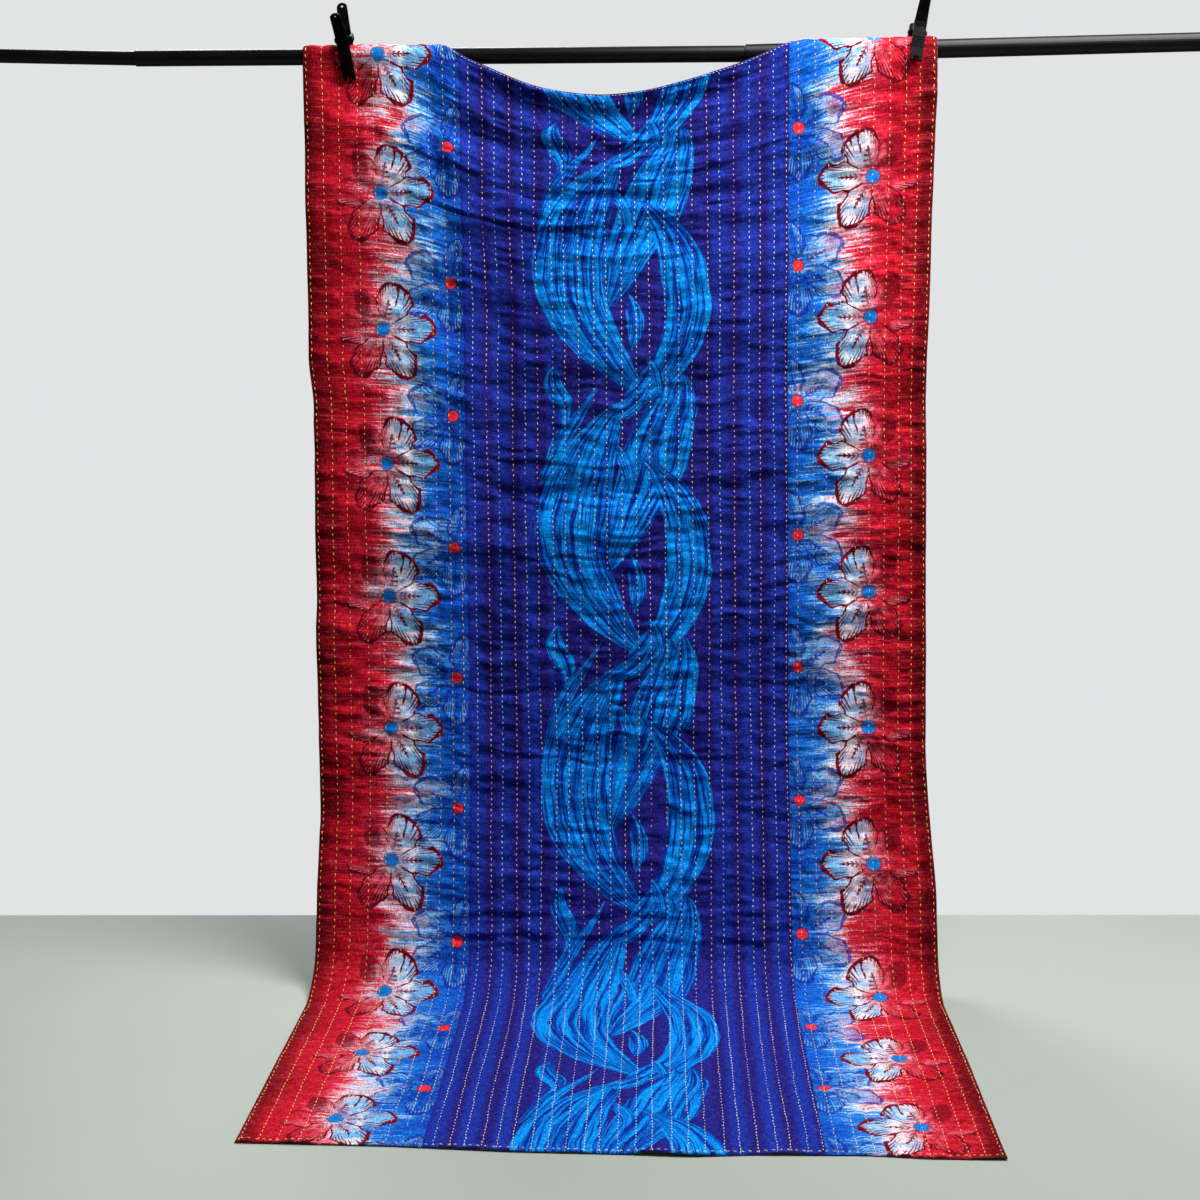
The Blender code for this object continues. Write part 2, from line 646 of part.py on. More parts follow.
def build_clamp(name, place, sideways, forward, parent):
    """A clamp astride the bar. Its frame's origin is on the bar's axis, its Z along its middle."""
    anchor = bpy.data.objects.new(f"{name}_anchor", None)
    bpy.context.scene.collection.objects.link(anchor)
    anchor.parent = parent
    anchor.location = (place, 0.0, float(bar_height(place)))
    turn = Matrix.Rotation(sideways, 3, "Y") @ Matrix.Rotation(forward, 3, "X")
    anchor.rotation_euler = turn.to_euler()
    skin = float(wrap_radius(place)) + QUILT_THICKNESS / 2.0 + CHANNEL_RISE
    pivot = (0.0, skin + PIVOT_GAP + EAR_RADIUS + OUTER_EAR[1] * abs(math.sin(sideways)))
    clearance = skin + FACE_GAP
    build_arm(f"{name}_front_arm", -1, clearance, pivot, INNER_EAR, anchor)
    build_arm(f"{name}_rear_arm", 1, clearance, pivot, OUTER_EAR, anchor)
    build_pin(f"{name}_pin", pivot, anchor)
    build_spring(f"{name}_spring", pivot, anchor)


# ---------------------------------------------------------------- the whole part
def centre_on_origin(root):
    """Moves the whole part so that the middle of its footprint is at the origin."""
    bpy.context.view_layer.update()
    graph = bpy.context.evaluated_depsgraph_get()
    low = Vector((1e9, 1e9, 1e9))
    high = -low
    for obj in bpy.context.scene.objects:
        if obj.type != "MESH" or obj.hide_render:
            continue
        shape = obj.evaluated_get(graph)
        mesh = shape.to_mesh()
        for vertex in mesh.vertices:
            point = shape.matrix_world @ vertex.co
            low = Vector(map(min, low, point))
            high = Vector(map(max, high, point))
        shape.to_mesh_clear()
    root.location = (-(low.x + high.x) / 2.0, -(low.y + high.y) / 2.0, 0.0)


def main():
    clear_scene()
    root = bpy.data.objects.new("kantha_quilt_on_bar", None)
    bpy.context.scene.collection.objects.link(root)
    build_bar(root)
    build_quilt(root)
    for name, place, sideways, forward in CLAMPS:
        build_clamp(name, place, sideways, forward, root)
    centre_on_origin(root)


main()
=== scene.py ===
"""Looks of a kantha quilt clamped over a crossbar: cloth, print, stitches, metal, light, camera.

Metres, +Z up, the printed face towards -Y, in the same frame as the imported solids. The cloth is a
thin sheet on the solid quilt's own folds, a few of them taken further, with finer puckers. Its
print is drawn by nodes in the cloth's own coordinates: place across the quilt and distance down
its print.
"""

import math

import bmesh
import bpy
import numpy as np
from mathutils import Matrix, Vector


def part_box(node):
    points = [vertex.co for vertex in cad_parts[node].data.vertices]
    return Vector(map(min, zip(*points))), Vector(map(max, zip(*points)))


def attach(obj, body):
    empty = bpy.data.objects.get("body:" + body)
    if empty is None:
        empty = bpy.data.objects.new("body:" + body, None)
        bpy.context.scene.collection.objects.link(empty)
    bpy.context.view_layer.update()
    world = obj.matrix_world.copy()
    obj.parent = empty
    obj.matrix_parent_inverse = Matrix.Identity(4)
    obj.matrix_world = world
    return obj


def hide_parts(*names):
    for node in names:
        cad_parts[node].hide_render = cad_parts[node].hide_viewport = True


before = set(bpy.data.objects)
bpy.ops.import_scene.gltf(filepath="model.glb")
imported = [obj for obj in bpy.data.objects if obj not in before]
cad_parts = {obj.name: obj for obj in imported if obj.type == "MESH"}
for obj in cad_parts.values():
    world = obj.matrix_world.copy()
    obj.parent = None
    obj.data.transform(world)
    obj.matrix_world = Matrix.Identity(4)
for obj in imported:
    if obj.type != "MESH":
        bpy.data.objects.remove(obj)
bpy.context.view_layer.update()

# ---- the cloth's surface, as its solid except where a comment says more
QUILT_WIDTH = 1.12
QUILT_THICKNESS = 0.0024
CHANNEL_RISE = 0.0017  # how far the cloth puffs up between two rows of stitches
BAR_REST_GAP = 0.0023
CORNER_LAP = -0.058  # where the top hem lies at the corners, behind the bar's crown
LAST_LINE = 2.320
SAG_LENGTH = 0.30
FALL_CURVE = 0.0745
CREASED_FROM = 0.035
CREASED_FADE = 0.050
SMOOTH_FROM, SMOOTH_TO = 1.72, 1.80  # the creases fade out; on the solid from 1.60 to 1.72
HEM_EVEN_FROM = 1.90
MIDDLE_TUBE, RIGHT_TUBE = 0.0285, 0.0325
BAR_AXIS = ((-1.150, 1.6842), (-0.868, 1.6742), (0.228, 1.6630), (1.150, 1.6704))
BAR_STEP_EASED = (-0.05, 0.20)
# Top hem: place across, distance along the cloth from the bar's crown (behind it is negative).
TOP_HEM = (
    (-0.560, -0.058), (-0.430, -0.050), (-0.360, -0.026), (-0.310, 0.008), (-0.271, 0.034),
    (-0.232, 0.050), (-0.196, 0.067), (-0.161, 0.081), (-0.126, 0.091), (-0.069, 0.100),
    (-0.022, 0.103), (0.020, 0.100), (0.065, 0.094), (0.142, 0.075), (0.219, 0.051), (0.257, 0.036),
    (0.300, 0.018), (0.350, -0.004), (0.400, -0.026), (0.460, -0.044), (0.560, -0.050),
)
# Bottom hem: place across, distance along the cloth from the bar's crown.
BOTTOM_HEM = (
    (-0.560, 2.287), (-0.330, 2.294), (-0.150, 2.308), (0.020, 2.313), (0.108, 2.319),
    (0.200, 2.312), (0.366, 2.313), (0.450, 2.323), (0.560, 2.326),
)
# Side edges: distance along the cloth, how far the left and right edges stand outwards.
SIDE_EDGES = (
    (-0.06, 0.000, 0.004), (0.10, 0.000, 0.006), (0.45, 0.003, -0.003), (0.58, 0.004, -0.008),
    (0.64, -0.004, -0.008), (1.10, 0.000, -0.007), (1.30, -0.003, -0.008), (1.42, -0.003, -0.001),
    (1.55, -0.001, 0.006), (1.75, 0.001, 0.002), (2.00, 0.001, 0.003), (2.33, 0.000, 0.000),
)
# Rows of running stitch, in bands from left to right: spaces in the band, their width.
STITCH_BANDS = ((5, 0.0306), (11, 0.0233), (15, 0.0254), (4, 0.0222), (9, 0.0262))
ROW_WANDER = 0.0016
ROW_DRIFT = (0.0022, 0.07, 0.16)  # how far a row strays, over which length across and down
ROW_WANDER_STEP = 2.3
# Main creases: distance down, middle, half length, rise of the ends, slope, depth, half width.
# The last two shape the bend at the floor, where the solid has one weaker crease.
CREASES = (
    (0.125, 0.02, 0.42, 0.018, 0.00, 0.0055, 0.021),
    (0.262, 0.05, 0.44, 0.018, 0.03, 0.0070, 0.024),
    (0.350, -0.12, 0.30, 0.012, 0.01, 0.0050, 0.022),
    (0.610, -0.06, 0.34, 0.008, 0.01, 0.0060, 0.024),
    (0.810, 0.05, 0.42, 0.010, 0.03, 0.0065, 0.024),
    (1.160, -0.02, 0.40, 0.006, 0.01, 0.0060, 0.024),
    (1.290, -0.10, 0.34, 0.004, -0.02, 0.0050, 0.024),
    (1.510, 0.00, 0.90, 0.002, 0.00, -0.0080, 0.055),
    (1.665, 0.00, 0.90, 0.002, 0.00, 0.0130, 0.046),
)
# Hollows and swells down the cloth: middle at top and foot, half width, from, to, depth. The
# last one is in the scene alone.
HOLLOWS = (
    (-0.215, -0.250, 0.038, 0.50, 1.20, 0.0065),
    (0.360, 0.290, 0.050, 0.25, 0.75, 0.0040),
    (0.420, 0.455, 0.040, 0.95, 1.45, 0.0040),
    (-0.060, 0.040, 0.090, 0.35, 1.45, -0.0050),
    (-0.332, -0.292, 0.019, 0.16, 0.60, 0.0055),
)
HOLLOW_FADE = 0.22
HOLLOW_WANDER = 0.010
HOLLOW_WANDER_LENGTH = 0.62
EDGE_CURL = (0.030, 0.007, 0.30, 1.55)
EDGE_CURL_FADE = 0.15
HEM_WAVES = ((0.0, 0.006), (0.036, -0.009))  # the tuck under the hem, on the solid 0.004 deep
HEM_WAVE_WIDTH = 0.016
HEM_FREE = (0.030, 0.070)
# Dents under the clamps' jaws: place across, begins, full, gone, depth.
DENTS = (
    (-0.484, 0.028, 0.073, 0.150, 0.0185),
    (0.530, -0.033, -0.054, -0.120, 0.0080),
)
DENT_HALF_WIDTH = 0.023
DENT_FADE = 0.034
TABLE_EASE = 0.016  # tables of edges are read softly over this distance
LATTICE_CELLS = 512  # before the noise repeats itself

# ---- finer folds, in the scene alone
# The cloth's grain droops like the top hem, less so farther down; folds and streaks follow it.
GRAIN_DROOP = 0.9
GRAIN_FADE = 0.50
# Sharp small folds along the grain, each with a ridge above it: distance down at its middle,
# middle, half length, slope, depth, half width.
SHARP_FOLDS = (
    (0.150, -0.05, 0.22, 0.02, 0.0030, 0.0060),
    (0.178, -0.26, 0.16, 0.05, 0.0044, 0.0080),
    (0.196, 0.12, 0.30, 0.02, 0.0034, 0.0070),
    (0.232, -0.18, 0.30, 0.02, 0.0044, 0.0080),
    (0.285, 0.16, 0.24, 0.00, 0.0034, 0.0060),
    (0.330, -0.16, 0.26, 0.03, 0.0040, 0.0070),
    (0.392, -0.02, 0.24, 0.02, 0.0030, 0.0060),
    (0.470, 0.18, 0.22, 0.02, 0.0028, 0.0060),
    (0.530, -0.22, 0.20, -0.02, 0.0030, 0.0060),
    (0.622, 0.00, 0.40, 0.02, 0.0042, 0.0065),
    (0.700, 0.20, 0.20, 0.04, 0.0030, 0.0060),
    (0.752, -0.16, 0.24, 0.00, 0.0030, 0.0060),
    (0.822, 0.08, 0.40, 0.03, 0.0044, 0.0070),
    (0.930, -0.05, 0.30, 0.02, 0.0030, 0.0060),
    (1.020, 0.16, 0.24, 0.04, 0.0030, 0.0060),
    (1.090, -0.18, 0.22, -0.03, 0.0030, 0.0060),
    (1.172, 0.00, 0.42, 0.02, 0.0040, 0.0070),
    (1.240, 0.22, 0.20, 0.05, 0.0028, 0.0060),
    (1.300, -0.08, 0.38, -0.01, 0.0040, 0.0070),
    (1.420, 0.12, 0.28, 0.03, 0.0030, 0.0065),
    (1.500, -0.14, 0.26, -0.01, 0.0028, 0.0065),
    (1.545, 0.10, 0.34, -0.02, 0.0050, 0.0080),
    (1.585, 0.02, 0.48, 0.01, 0.0056, 0.0085),
    (1.625, -0.06, 0.44, -0.01, 0.0060, 0.0090),
)
FOLD_STRAY = (0.010, 0.050, 0.12)  # how far they stray, over which length across and down
FOLD_BREAKS = (0.50, 0.75, 0.055)  # their mean share, its change, over which length across
FOLD_RIDGE, FOLD_VALLEY = (-1.5, 1.3), (0.2, 0.7)  # middle, half width, in their own width
FOLD_NARROWED, FOLD_SHARE = 0.75, 0.8  # of the width and depth in the table
FOLDS_FROM, FOLDS_FADE = 0.03, 0.10  # no folds over the bar
FLOOR_FROM, FLOOR_FADE = 1.62, 0.14  # where the cloth comes to lie on the floor
# Ripples along the grain: length across, spacing down, depth, share left on the floor.
FINE_PUCKERS = (0.036, 0.0112, 0.0092, 0.20)
BROAD_PUCKERS = (
    (0.120, 0.0380, 0.0062, 0.12),
    (0.300, 0.1050, 0.0150, 0.04),
)
PUCKER_SKEW = 0.30  # how far the ripples droop over their lower sides
PUCKER_BEND = (0.8, 0.8, 7.0)  # how far they bend, in spacings, over how many lengths, spacings
HEM_LIFT = (0.0055, 0.060, 0.018)  # height, length of each lift, reach inwards
LOW_PUCKERS, LOW_FROM, LOW_FADE = 0.25, 0.5, 0.5  # how much deeper they are lower down
# The fine puckers are part ripples and part puffs with sharp valleys between.
RIPPLE_SHARE, PUFF_SHARE = 0.60, 0.55
PUFF_LENGTH, PUFF_SPACING = 1.4, 1.7  # of the ripples' own
PUFF_EASE, PUFF_SUNK = 0.004, 0.7
FLOOR_BORDER_PUCKERS = 0.34  # more of them is left on the floor in the borders
BORDER_EASE = 0.04
PUCKERS_FROM, PUCKERS_FADE = 0.02, 0.05
PUCKERS_HELD = 0.6  # this share of them is held down at a row and on the bar
ROW_PINCH = 0.0035  # the puckers flatten this close to a row

COLUMNS_PER_CHANNEL = 3
BACK_COLUMNS_PER_CHANNEL = 2
HANGING_LINES, FLOOR_LINES = 545, 165
FACE_LOWEST, BACKING_LOWEST = 0.0004, 0.0001  # over the floor
FLOOR_LINES_FROM = 1.64
RIM = ((1.0, 0.0), (0.75, 0.55), (0.0, 1.0), (-0.4, 0.7))  # height share, reach outwards share
BACKING_LIP = 0.0009  # the backing shows this far beyond the printed face at the hems

STITCH_LENGTH = 0.0052
STITCH_PITCH = 0.0118
STITCH_RADIUS = 0.00070
STITCH_PROUD = 0.00045
STITCH_SINK = 0.0007
# A stitch as a bent thread: share of its half length, height over the cloth.
STITCH_BENDS = ((-1.0, -STITCH_SINK), (-0.55, STITCH_PROUD),
                (0.55, STITCH_PROUD), (1.0, -STITCH_SINK))
STITCH_STRAY, STITCH_TILT = 0.0004, 0.0003
STITCH_VARIED = (0.8, 1.15)  # the shortest and the longest, of their length
ROW_ENDS = (0.006, 0.004)  # rows begin and end this far inside the hems
ROW_SAMPLES = 1200
HEM_STITCH_STRAY = 0.0006
HEM_STITCH_VARIED = (0.8, 1.1)
HEM_ROW_ENDS = (0.008, 0.006)
PANEL_PITCH_SHARE = 0.84  # stitches are a little closer in the middle panel
FRONT_SIDES, BACK_SIDES = 5, 3
EDGE_ROW_INSET = 0.0045
BACK_STITCH_LENGTH = 0.0048
BACK_STITCHES_TO = 1.70  # beyond it the back lies on the floor
# Stitches along the hems: cloth line, step, length.
HEM_STITCHES = ((CORNER_LAP + 0.0030, 0.0064, 0.0036), (LAST_LINE - 0.0050, 0.0110, 0.0050))

# ---- the print, in metres on the cloth
PANEL_EDGE = (-0.282, 0.305)  # the middle panel's edges, left and right of the middle
# Rows of flowers, each number for the left and the right border: place across, the first one's
# distance down, spacing. The half-hidden blue ones stand beside the panel.
RED_FLOWERS = ((-0.4265, 0.4535), (0.0265, 0.0040), (0.2428, 0.2475))
BLUE_FLOWERS = ((-0.3040, 0.3225), (0.1900, 0.1640), (0.2395, 0.2415))
# Petals near this angle, within this width, are turned by this much, so that they stand unevenly.
TURNED_AT, TURNED_WIDTH, TURNED_BY = -1.45, 0.42, 0.34
HATCH_LINES, RIB_SPACING = 160.0, 0.0084  # of the hatching and of the arrows along a petal
PLAIT_MIDDLE = 0.030
PLAIT_FIRST = 0.164
PLAIT_PITCH = 0.476
STRIPE_PITCH = 0.050
BLEND_WIDTH = 0.30  # of the blend from the red edge to the blue
SELVEDGE_PRINT_AND_PAINTED_SHADE = (0.42, 0.66)  # how dark the colour grows at the left and right edge: dark selvedge print and painted shade of the edges turning back, more at the right
PRINT_WAVER = 0.0040  # its outlines stray by this much
EDGE_SOFT = 0.0008
PRINT_ZONES = ("border", "panel", "both")
PRINTS_MEET = 0.006  # both prints are drawn this near the line between them
# The print sags with the top hem from this sag on, and less so over this distance below it.
PRINT_SAG_FROM, PRINT_SAG_REACH = 0.012, 0.12

SEED = 17

# ---- clamps
# Place across, lean along the bar and forward, in degrees, as their solids stand.
CLAMPS = {"clamp_left": (-0.484, -6.5, 20.0), "clamp_right": (0.530, 10.0, -22.0)}
# An arm's front view from below its jaw upwards: half width, height over the bar's axis.
ARM_PLAN = ((0.018, -0.060), (0.018, 0.034), (0.0112, 0.036), (0.0092, 0.0770))
HANDLE_TOP = (0.0092, 0.0082)  # half width and height of its rounded end
HANDLE_STEPS = 12
PLAN_REACH = 0.09  # how far the plan body reaches forward and back
ARM_BEVEL = 0.0008

# ---- camera, fitted to the photograph
FRAME_PIXELS = 1200.0
FOCAL_PIXELS = 1721.1
SENSOR_WIDTH = 36.0
CAMERA_X = 0.0723
CAMERA_TO_CLOTH = 3.1694  # from the camera to the cloth's plane under the bar
CLOTH_TO_BAR = 0.018
CAMERA_HEIGHT = 1.1723
CAMERA_PITCH = -0.1532
CAMERA_YAW = 0.0358
CAMERA_ROLL = -0.0123
FLOOR_BACK = 0.186  # the floor's back edge behind the bar
FLOOR_SIDE, FLOOR_FRONT = 4.0, -6.0

# ---- light
WORLD_COLOUR, WORLD_STRENGTH = (0.93, 0.96, 1.0, 1.0), 0.10
# Lamps: place, target, size, power, colour.
LAMPS = {
    "key": ((1.05, -0.28, 2.95), (0.05, 0.15, 0.6), 1.9, 136.0, (1.0, 0.99, 0.97)),
    "fill": ((1.6, -4.6, 3.0), (0.0, -0.6, 0.4), 2.4, 5.0, (0.95, 0.98, 1.0)),
    "back": ((-1.2, 3.0, 3.4), (-0.6, 0.0, 0.4), 2.2, 110.0, (1.0, 1.0, 1.0)),
}

bar_low, bar_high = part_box("bar_middle")
BAR_Y = (bar_low.y + bar_high.y) / 2.0


# ---- numbers
def smoothed(value):
    """0 to 1 with level ends, for an array of values that is clipped to 0..1."""
    t = np.clip(value, 0.0, 1.0)
    return t * t * (3.0 - 2.0 * t)


def window(value, low, high, fade):
    return smoothed((value - low) / fade + 1.0) * smoothed((high - value) / fade + 1.0)


def bell(value, middle, half):
    """1 in the middle, falling off softly to both sides."""
    return np.exp(-(((value - middle) / half) ** 2))


def fading(distance, length):
    """1 up to a place, fading beyond it."""
    return np.exp(-np.maximum(distance, 0.0) / length)


def read_table(table, index, place):
    """A table's column against its first one, with its corners rounded off."""
    places = [row[0] for row in table]
    values = [row[index] for row in table]
    total = 0.0
    for step in (-1.0, -0.5, 0.0, 0.5, 1.0):
        total = total + np.interp(place + step * TABLE_EASE, places, values)
    return total / 5.0


def lattice_noise(x, y, seed):
    """Smooth noise between -1 and 1 with cells of size 1."""
    size = LATTICE_CELLS
    values = np.random.default_rng(seed).uniform(-1.0, 1.0, (size, size))
    column, row = np.floor(x).astype(int), np.floor(y).astype(int)
    across, down = smoothed(x - column), smoothed(y - row)
    corner = [[values[(column + i) % size, (row + j) % size] for j in (0, 1)] for i in (0, 1)]
    left = corner[0][0] * (1.0 - down) + corner[0][1] * down
    right = corner[1][0] * (1.0 - down) + corner[1][1] * down
    return left * (1.0 - across) + right * across


# ---- the cloth's surface
def wrap_radius(u):
    low, high = BAR_STEP_EASED
    eased = smoothed((u - low) / (high - low))
    tube = MIDDLE_TUBE + (RIGHT_TUBE - MIDDLE_TUBE) * eased
    return tube / 2.0 + BAR_REST_GAP + QUILT_THICKNESS / 2.0


def bar_height(x):
    return np.interp(x, [row[0] for row in BAR_AXIS], [row[1] for row in BAR_AXIS])


def top_hem(u):
    return read_table(TOP_HEM, 1, u)


def along(u, w):
    """Distance from the bar's crown of cloth line w, which sags with the hem near the top."""
    start = top_hem(u)
    sagged = start + (w - CORNER_LAP) * (SAG_LENGTH - start) / (SAG_LENGTH - CORNER_LAP)
    hung = np.where(w < SAG_LENGTH, sagged, w)
    spare = read_table(BOTTOM_HEM, 1, u) - LAST_LINE
    return hung + spare * smoothed((w - HEM_EVEN_FROM) / (LAST_LINE - HEM_EVEN_FROM))


def path(s, wrap, axis_height):
    """(y, z) of the cloth's middle and its unit way down the cloth, s from the bar's crown."""
    quarter = wrap * math.pi / 2.0
    drop = axis_height - QUILT_THICKNESS / 2.0
    fall_length = np.sqrt((drop + FALL_CURVE) ** 2 - FALL_CURVE ** 2)
    top_reach = FALL_CURVE * np.arcsinh(fall_length / FALL_CURVE)
    left = fall_length - (s - quarter)
    hanging = np.maximum(left, 0.0)
    reach = FALL_CURVE * np.arcsinh(hanging / FALL_CURVE)
    front_y = -wrap - (top_reach - reach) + np.minimum(left, 0.0)
    front_z = np.sqrt(hanging ** 2 + FALL_CURVE ** 2) - FALL_CURVE + QUILT_THICKNESS / 2.0
    steep = np.sqrt(1.0 + (hanging / FALL_CURVE) ** 2)
    angle = np.clip(s / wrap, -math.pi / 2.0, math.pi / 2.0)
    behind = s < -quarter
    round_z = np.where(behind, axis_height + (s + quarter), axis_height + wrap * np.cos(angle))
    in_front = s > quarter
    y = np.where(in_front, front_y, -wrap * np.sin(angle))
    z = np.where(in_front, front_z, round_z)
    way_y = np.where(in_front, -1.0 / steep, -np.cos(angle))
    way_z = np.where(in_front, -(hanging / FALL_CURVE) / steep, -np.sin(angle))
    return y, z, way_y, way_z


def crease_depth(u, w):
    depth = np.zeros_like(u)
    for place, middle, half, rise, slope, deep, width in CREASES:
        off = (u - middle) / half
        line = place - rise * off ** 2 - slope * (u - middle)
        depth += deep * np.clip(1.0 - off ** 2, 0.0, 1.0) * bell(w, line, width)
    return depth


def grain(u, w):
    """Distance down along the cloth's grain, which droops with the top hem."""
    s = along(u, w)
    hem = top_hem(u)
    return s - GRAIN_DROOP * (hem - CORNER_LAP) * fading(s - hem, GRAIN_FADE)


def floor_share(w):
    return smoothed((w - FLOOR_FROM) / FLOOR_FADE)


def ripples(u, v, number, length, spacing):
    """Waves between about -1 and 1, drooping over their lower sides."""
    bend, across, down = PUCKER_BEND
    noise = lattice_noise(u / (across * length), v / (down * spacing), SEED + 10 + number)
    down = v / spacing + bend * noise
    wave = lattice_noise(u / length, down, SEED + 20 + number)
    return lattice_noise(u / length, down + PUCKER_SKEW * wave, SEED + 20 + number)


def sharp_folds(u, v):
    depth_here = np.zeros_like(u)
    reach, across, down = FOLD_STRAY
    stray = reach * lattice_noise(u / across, v / down, SEED + 5)
    mean, change, length = FOLD_BREAKS
    for place, middle, half, slope, depth, width in SHARP_FOLDS:
        at = grain(np.array([middle]), np.array([place]))[0]
        breaks = mean + change * lattice_noise(u / length, np.full_like(u, 9.3 * place), SEED + 6)
        fade = np.sqrt(np.clip(1.0 - ((u - middle) / half) ** 2, 0.0, 1.0))
        fade = fade * np.maximum(breaks, 0.0)
        off = (v - at + slope * (u - middle) - stray) / (FOLD_NARROWED * width)
        ridge = FOLD_SHARE * bell(off, *FOLD_RIDGE)
        depth_here += FOLD_SHARE * depth * fade * (ridge - bell(off, *FOLD_VALLEY))
    return depth_here


def fold_height(u, w):
    """Folds that the whole quilt takes, beyond the main creases: sharp ones and broad ripples."""
    v = grain(u, w)
    on_floor = floor_share(w)
    broad = np.zeros_like(u)
    for number, (length, spacing, depth, left_on_floor) in enumerate(BROAD_PUCKERS):
        wave = ripples(u, v, number + 1, length, spacing)
        broad += 0.5 * depth * wave * (1.0 - (1.0 - left_on_floor) * on_floor)
    free = smoothed((along(u, w) - FOLDS_FROM) / FOLDS_FADE)
    return (sharp_folds(u, v) * (1.0 - on_floor) + broad) * free


def hollow_depth(u, w):
    depth = np.zeros_like(u)
    for top, foot, half, low, high, deep in HOLLOWS:
        middle = top + (foot - top) * smoothed((w - low) / (high - low))
        middle = middle + HOLLOW_WANDER * np.sin(2.0 * math.pi * (w - low) / HOLLOW_WANDER_LENGTH)
        depth += deep * bell(u, middle, half) * window(w, low, high, HOLLOW_FADE)
    return depth


def curl_depth(u, w):
    width, deep, low, high = EDGE_CURL
    share = np.clip((u - (QUILT_WIDTH / 2.0 - width)) / width, 0.0, 1.0)
    return deep * share ** 2 * window(w, low, high, EDGE_CURL_FADE)


def dent_depth(u, s):
    depth = np.zeros_like(u)
    for place, begins, full, gone, deep in DENTS:
        across = window(u, place - DENT_HALF_WIDTH, place + DENT_HALF_WIDTH, DENT_FADE)
        in_share = np.clip((s - begins) / (full - begins), 0.0, 1.0)
        out_share = np.clip((s - gone) / (full - gone), 0.0, 1.0)
        depth += deep * across * in_share * out_share
    return depth


def hem_lean(u, s):
    hem = top_hem(u)
    low, high = HEM_FREE
    free = smoothed((hem - low) / (high - low))
    return free * sum(reach * bell(s - hem, place, HEM_WAVE_WIDTH) for place, reach in HEM_WAVES)


def hem_lift(u, w):
    """The bottom hem is lifted off the floor in places."""
    height, length, reach = HEM_LIFT
    lifted = np.maximum(lattice_noise(u / length, np.zeros_like(u), SEED + 7), 0.0)
    return height * lifted * fading(LAST_LINE - w, reach)


def surface(u, w, height):
    """Points of the cloth at places u across and w down it, height above the cloth's middle."""
    u = np.asarray(u, dtype=float)
    w = np.asarray(w, dtype=float)
    s = along(u, w)
    y, z, way_y, way_z = path(s, wrap_radius(u), bar_height(u))
    creased = smoothed((s - CREASED_FROM) / CREASED_FADE)
    creased = creased * smoothed((SMOOTH_TO - s) / (SMOOTH_TO - SMOOTH_FROM))
    rise = -creased * (crease_depth(u, w) + hollow_depth(u, w) + curl_depth(u, w))
    rise += hem_lean(u, s) - dent_depth(u, s)
    share = u / (QUILT_WIDTH / 2.0)
    left_out = read_table(SIDE_EDGES, 1, s)
    right_out = read_table(SIDE_EDGES, 2, s)
    x = u + np.where(u > 0.0, right_out * share ** 3, left_out * share ** 3)
    total = rise + fold_height(u, w) + hem_lift(u, w) + height
    return np.stack([x, BAR_Y + y + way_z * total, z - way_y * total], axis=-1)


# ---- stitch rows and fine relief
def stitch_rows():
    """Places across of the rows of stitches, edge to edge."""
    places = [0.0]
    for count, pitch in STITCH_BANDS:
        for _ in range(count):
            places.append(places[-1] + pitch)
    rows = np.array(places) / places[-1] * QUILT_WIDTH - QUILT_WIDTH / 2.0
    numbers = np.arange(len(rows))
    rows[1:-1] += ROW_WANDER * np.sin(ROW_WANDER_STEP * numbers[1:-1])
    return rows


ROWS = stitch_rows()


def row_drift(u, w):
    """How far a row of stitches strays to a side at a place."""
    free = 1.0 - (u / (QUILT_WIDTH / 2.0)) ** 8
    reach, across, down = ROW_DRIFT
    return reach * free * lattice_noise(u / across, w / down, SEED + 3)


def channel_share(u, w):
    """0 at a row of stitches, 1 half way to the next, and the distance to the nearest row."""
    inside = np.clip(u - row_drift(u, w), ROWS[0], ROWS[-1])
    index = np.clip(np.searchsorted(ROWS, inside, side="right") - 1, 0, len(ROWS) - 2)
    left, right = ROWS[index], ROWS[index + 1]
    t = (inside - left) / (right - left)
    return 1.0 - (2.0 * t - 1.0) ** 2, np.minimum(inside - left, right - inside)


def relief(u, w):
    """Height of the printed face above the folded sheet: puffed channels and fine puckers."""
    share, to_row = channel_share(u, w)
    length, spacing, depth, left_on_floor = FINE_PUCKERS
    on_bar = 1.0 - smoothed((along(u, w) - PUCKERS_FROM) / PUCKERS_FADE)
    in_border = smoothed(np.maximum(PANEL_EDGE[0] - u, u - PANEL_EDGE[1]) / BORDER_EASE + 0.5)
    kept = left_on_floor + FLOOR_BORDER_PUCKERS * in_border
    free = 1.0 - PUCKERS_HELD * bell(to_row, 0.0, ROW_PINCH)
    free = free * (1.0 - (1.0 - kept) * floor_share(w)) * (1.0 - PUCKERS_HELD * on_bar)
    v = grain(u, w)
    puffs = ripples(u, v, 8, PUFF_LENGTH * length, PUFF_SPACING * spacing)
    puffs = 2.0 * np.sqrt(puffs ** 2 + PUFF_EASE) - PUFF_SUNK
    pucker = RIPPLE_SHARE * ripples(u, v, 0, length, spacing) + PUFF_SHARE * puffs
    pucker = 0.5 * depth * pucker * (1.0 + LOW_PUCKERS * smoothed((w - LOW_FROM) / LOW_FADE))
    return CHANNEL_RISE * np.sqrt(share) + pucker * free


def print_place(u, w):
    """Distance down the print: it has slid down with the sagging hem, less so farther below."""
    s = along(u, w)
    hem = top_hem(u)
    return s - np.maximum(hem - PRINT_SAG_FROM, 0.0) * fading(s - hem, PRINT_SAG_REACH)


# ---- meshes
def link(name, data):
    """A new object in the scene."""
    obj = bpy.data.objects.new(name, data)
    bpy.context.scene.collection.objects.link(obj)
    return obj


def mesh_object(name, points, faces, smooth=True):
    mesh = bpy.data.meshes.new(name)
    mesh.from_pydata(points, [], faces)
    mesh.validate()
    if smooth:
        mesh.shade_smooth()
    return link(name, mesh)


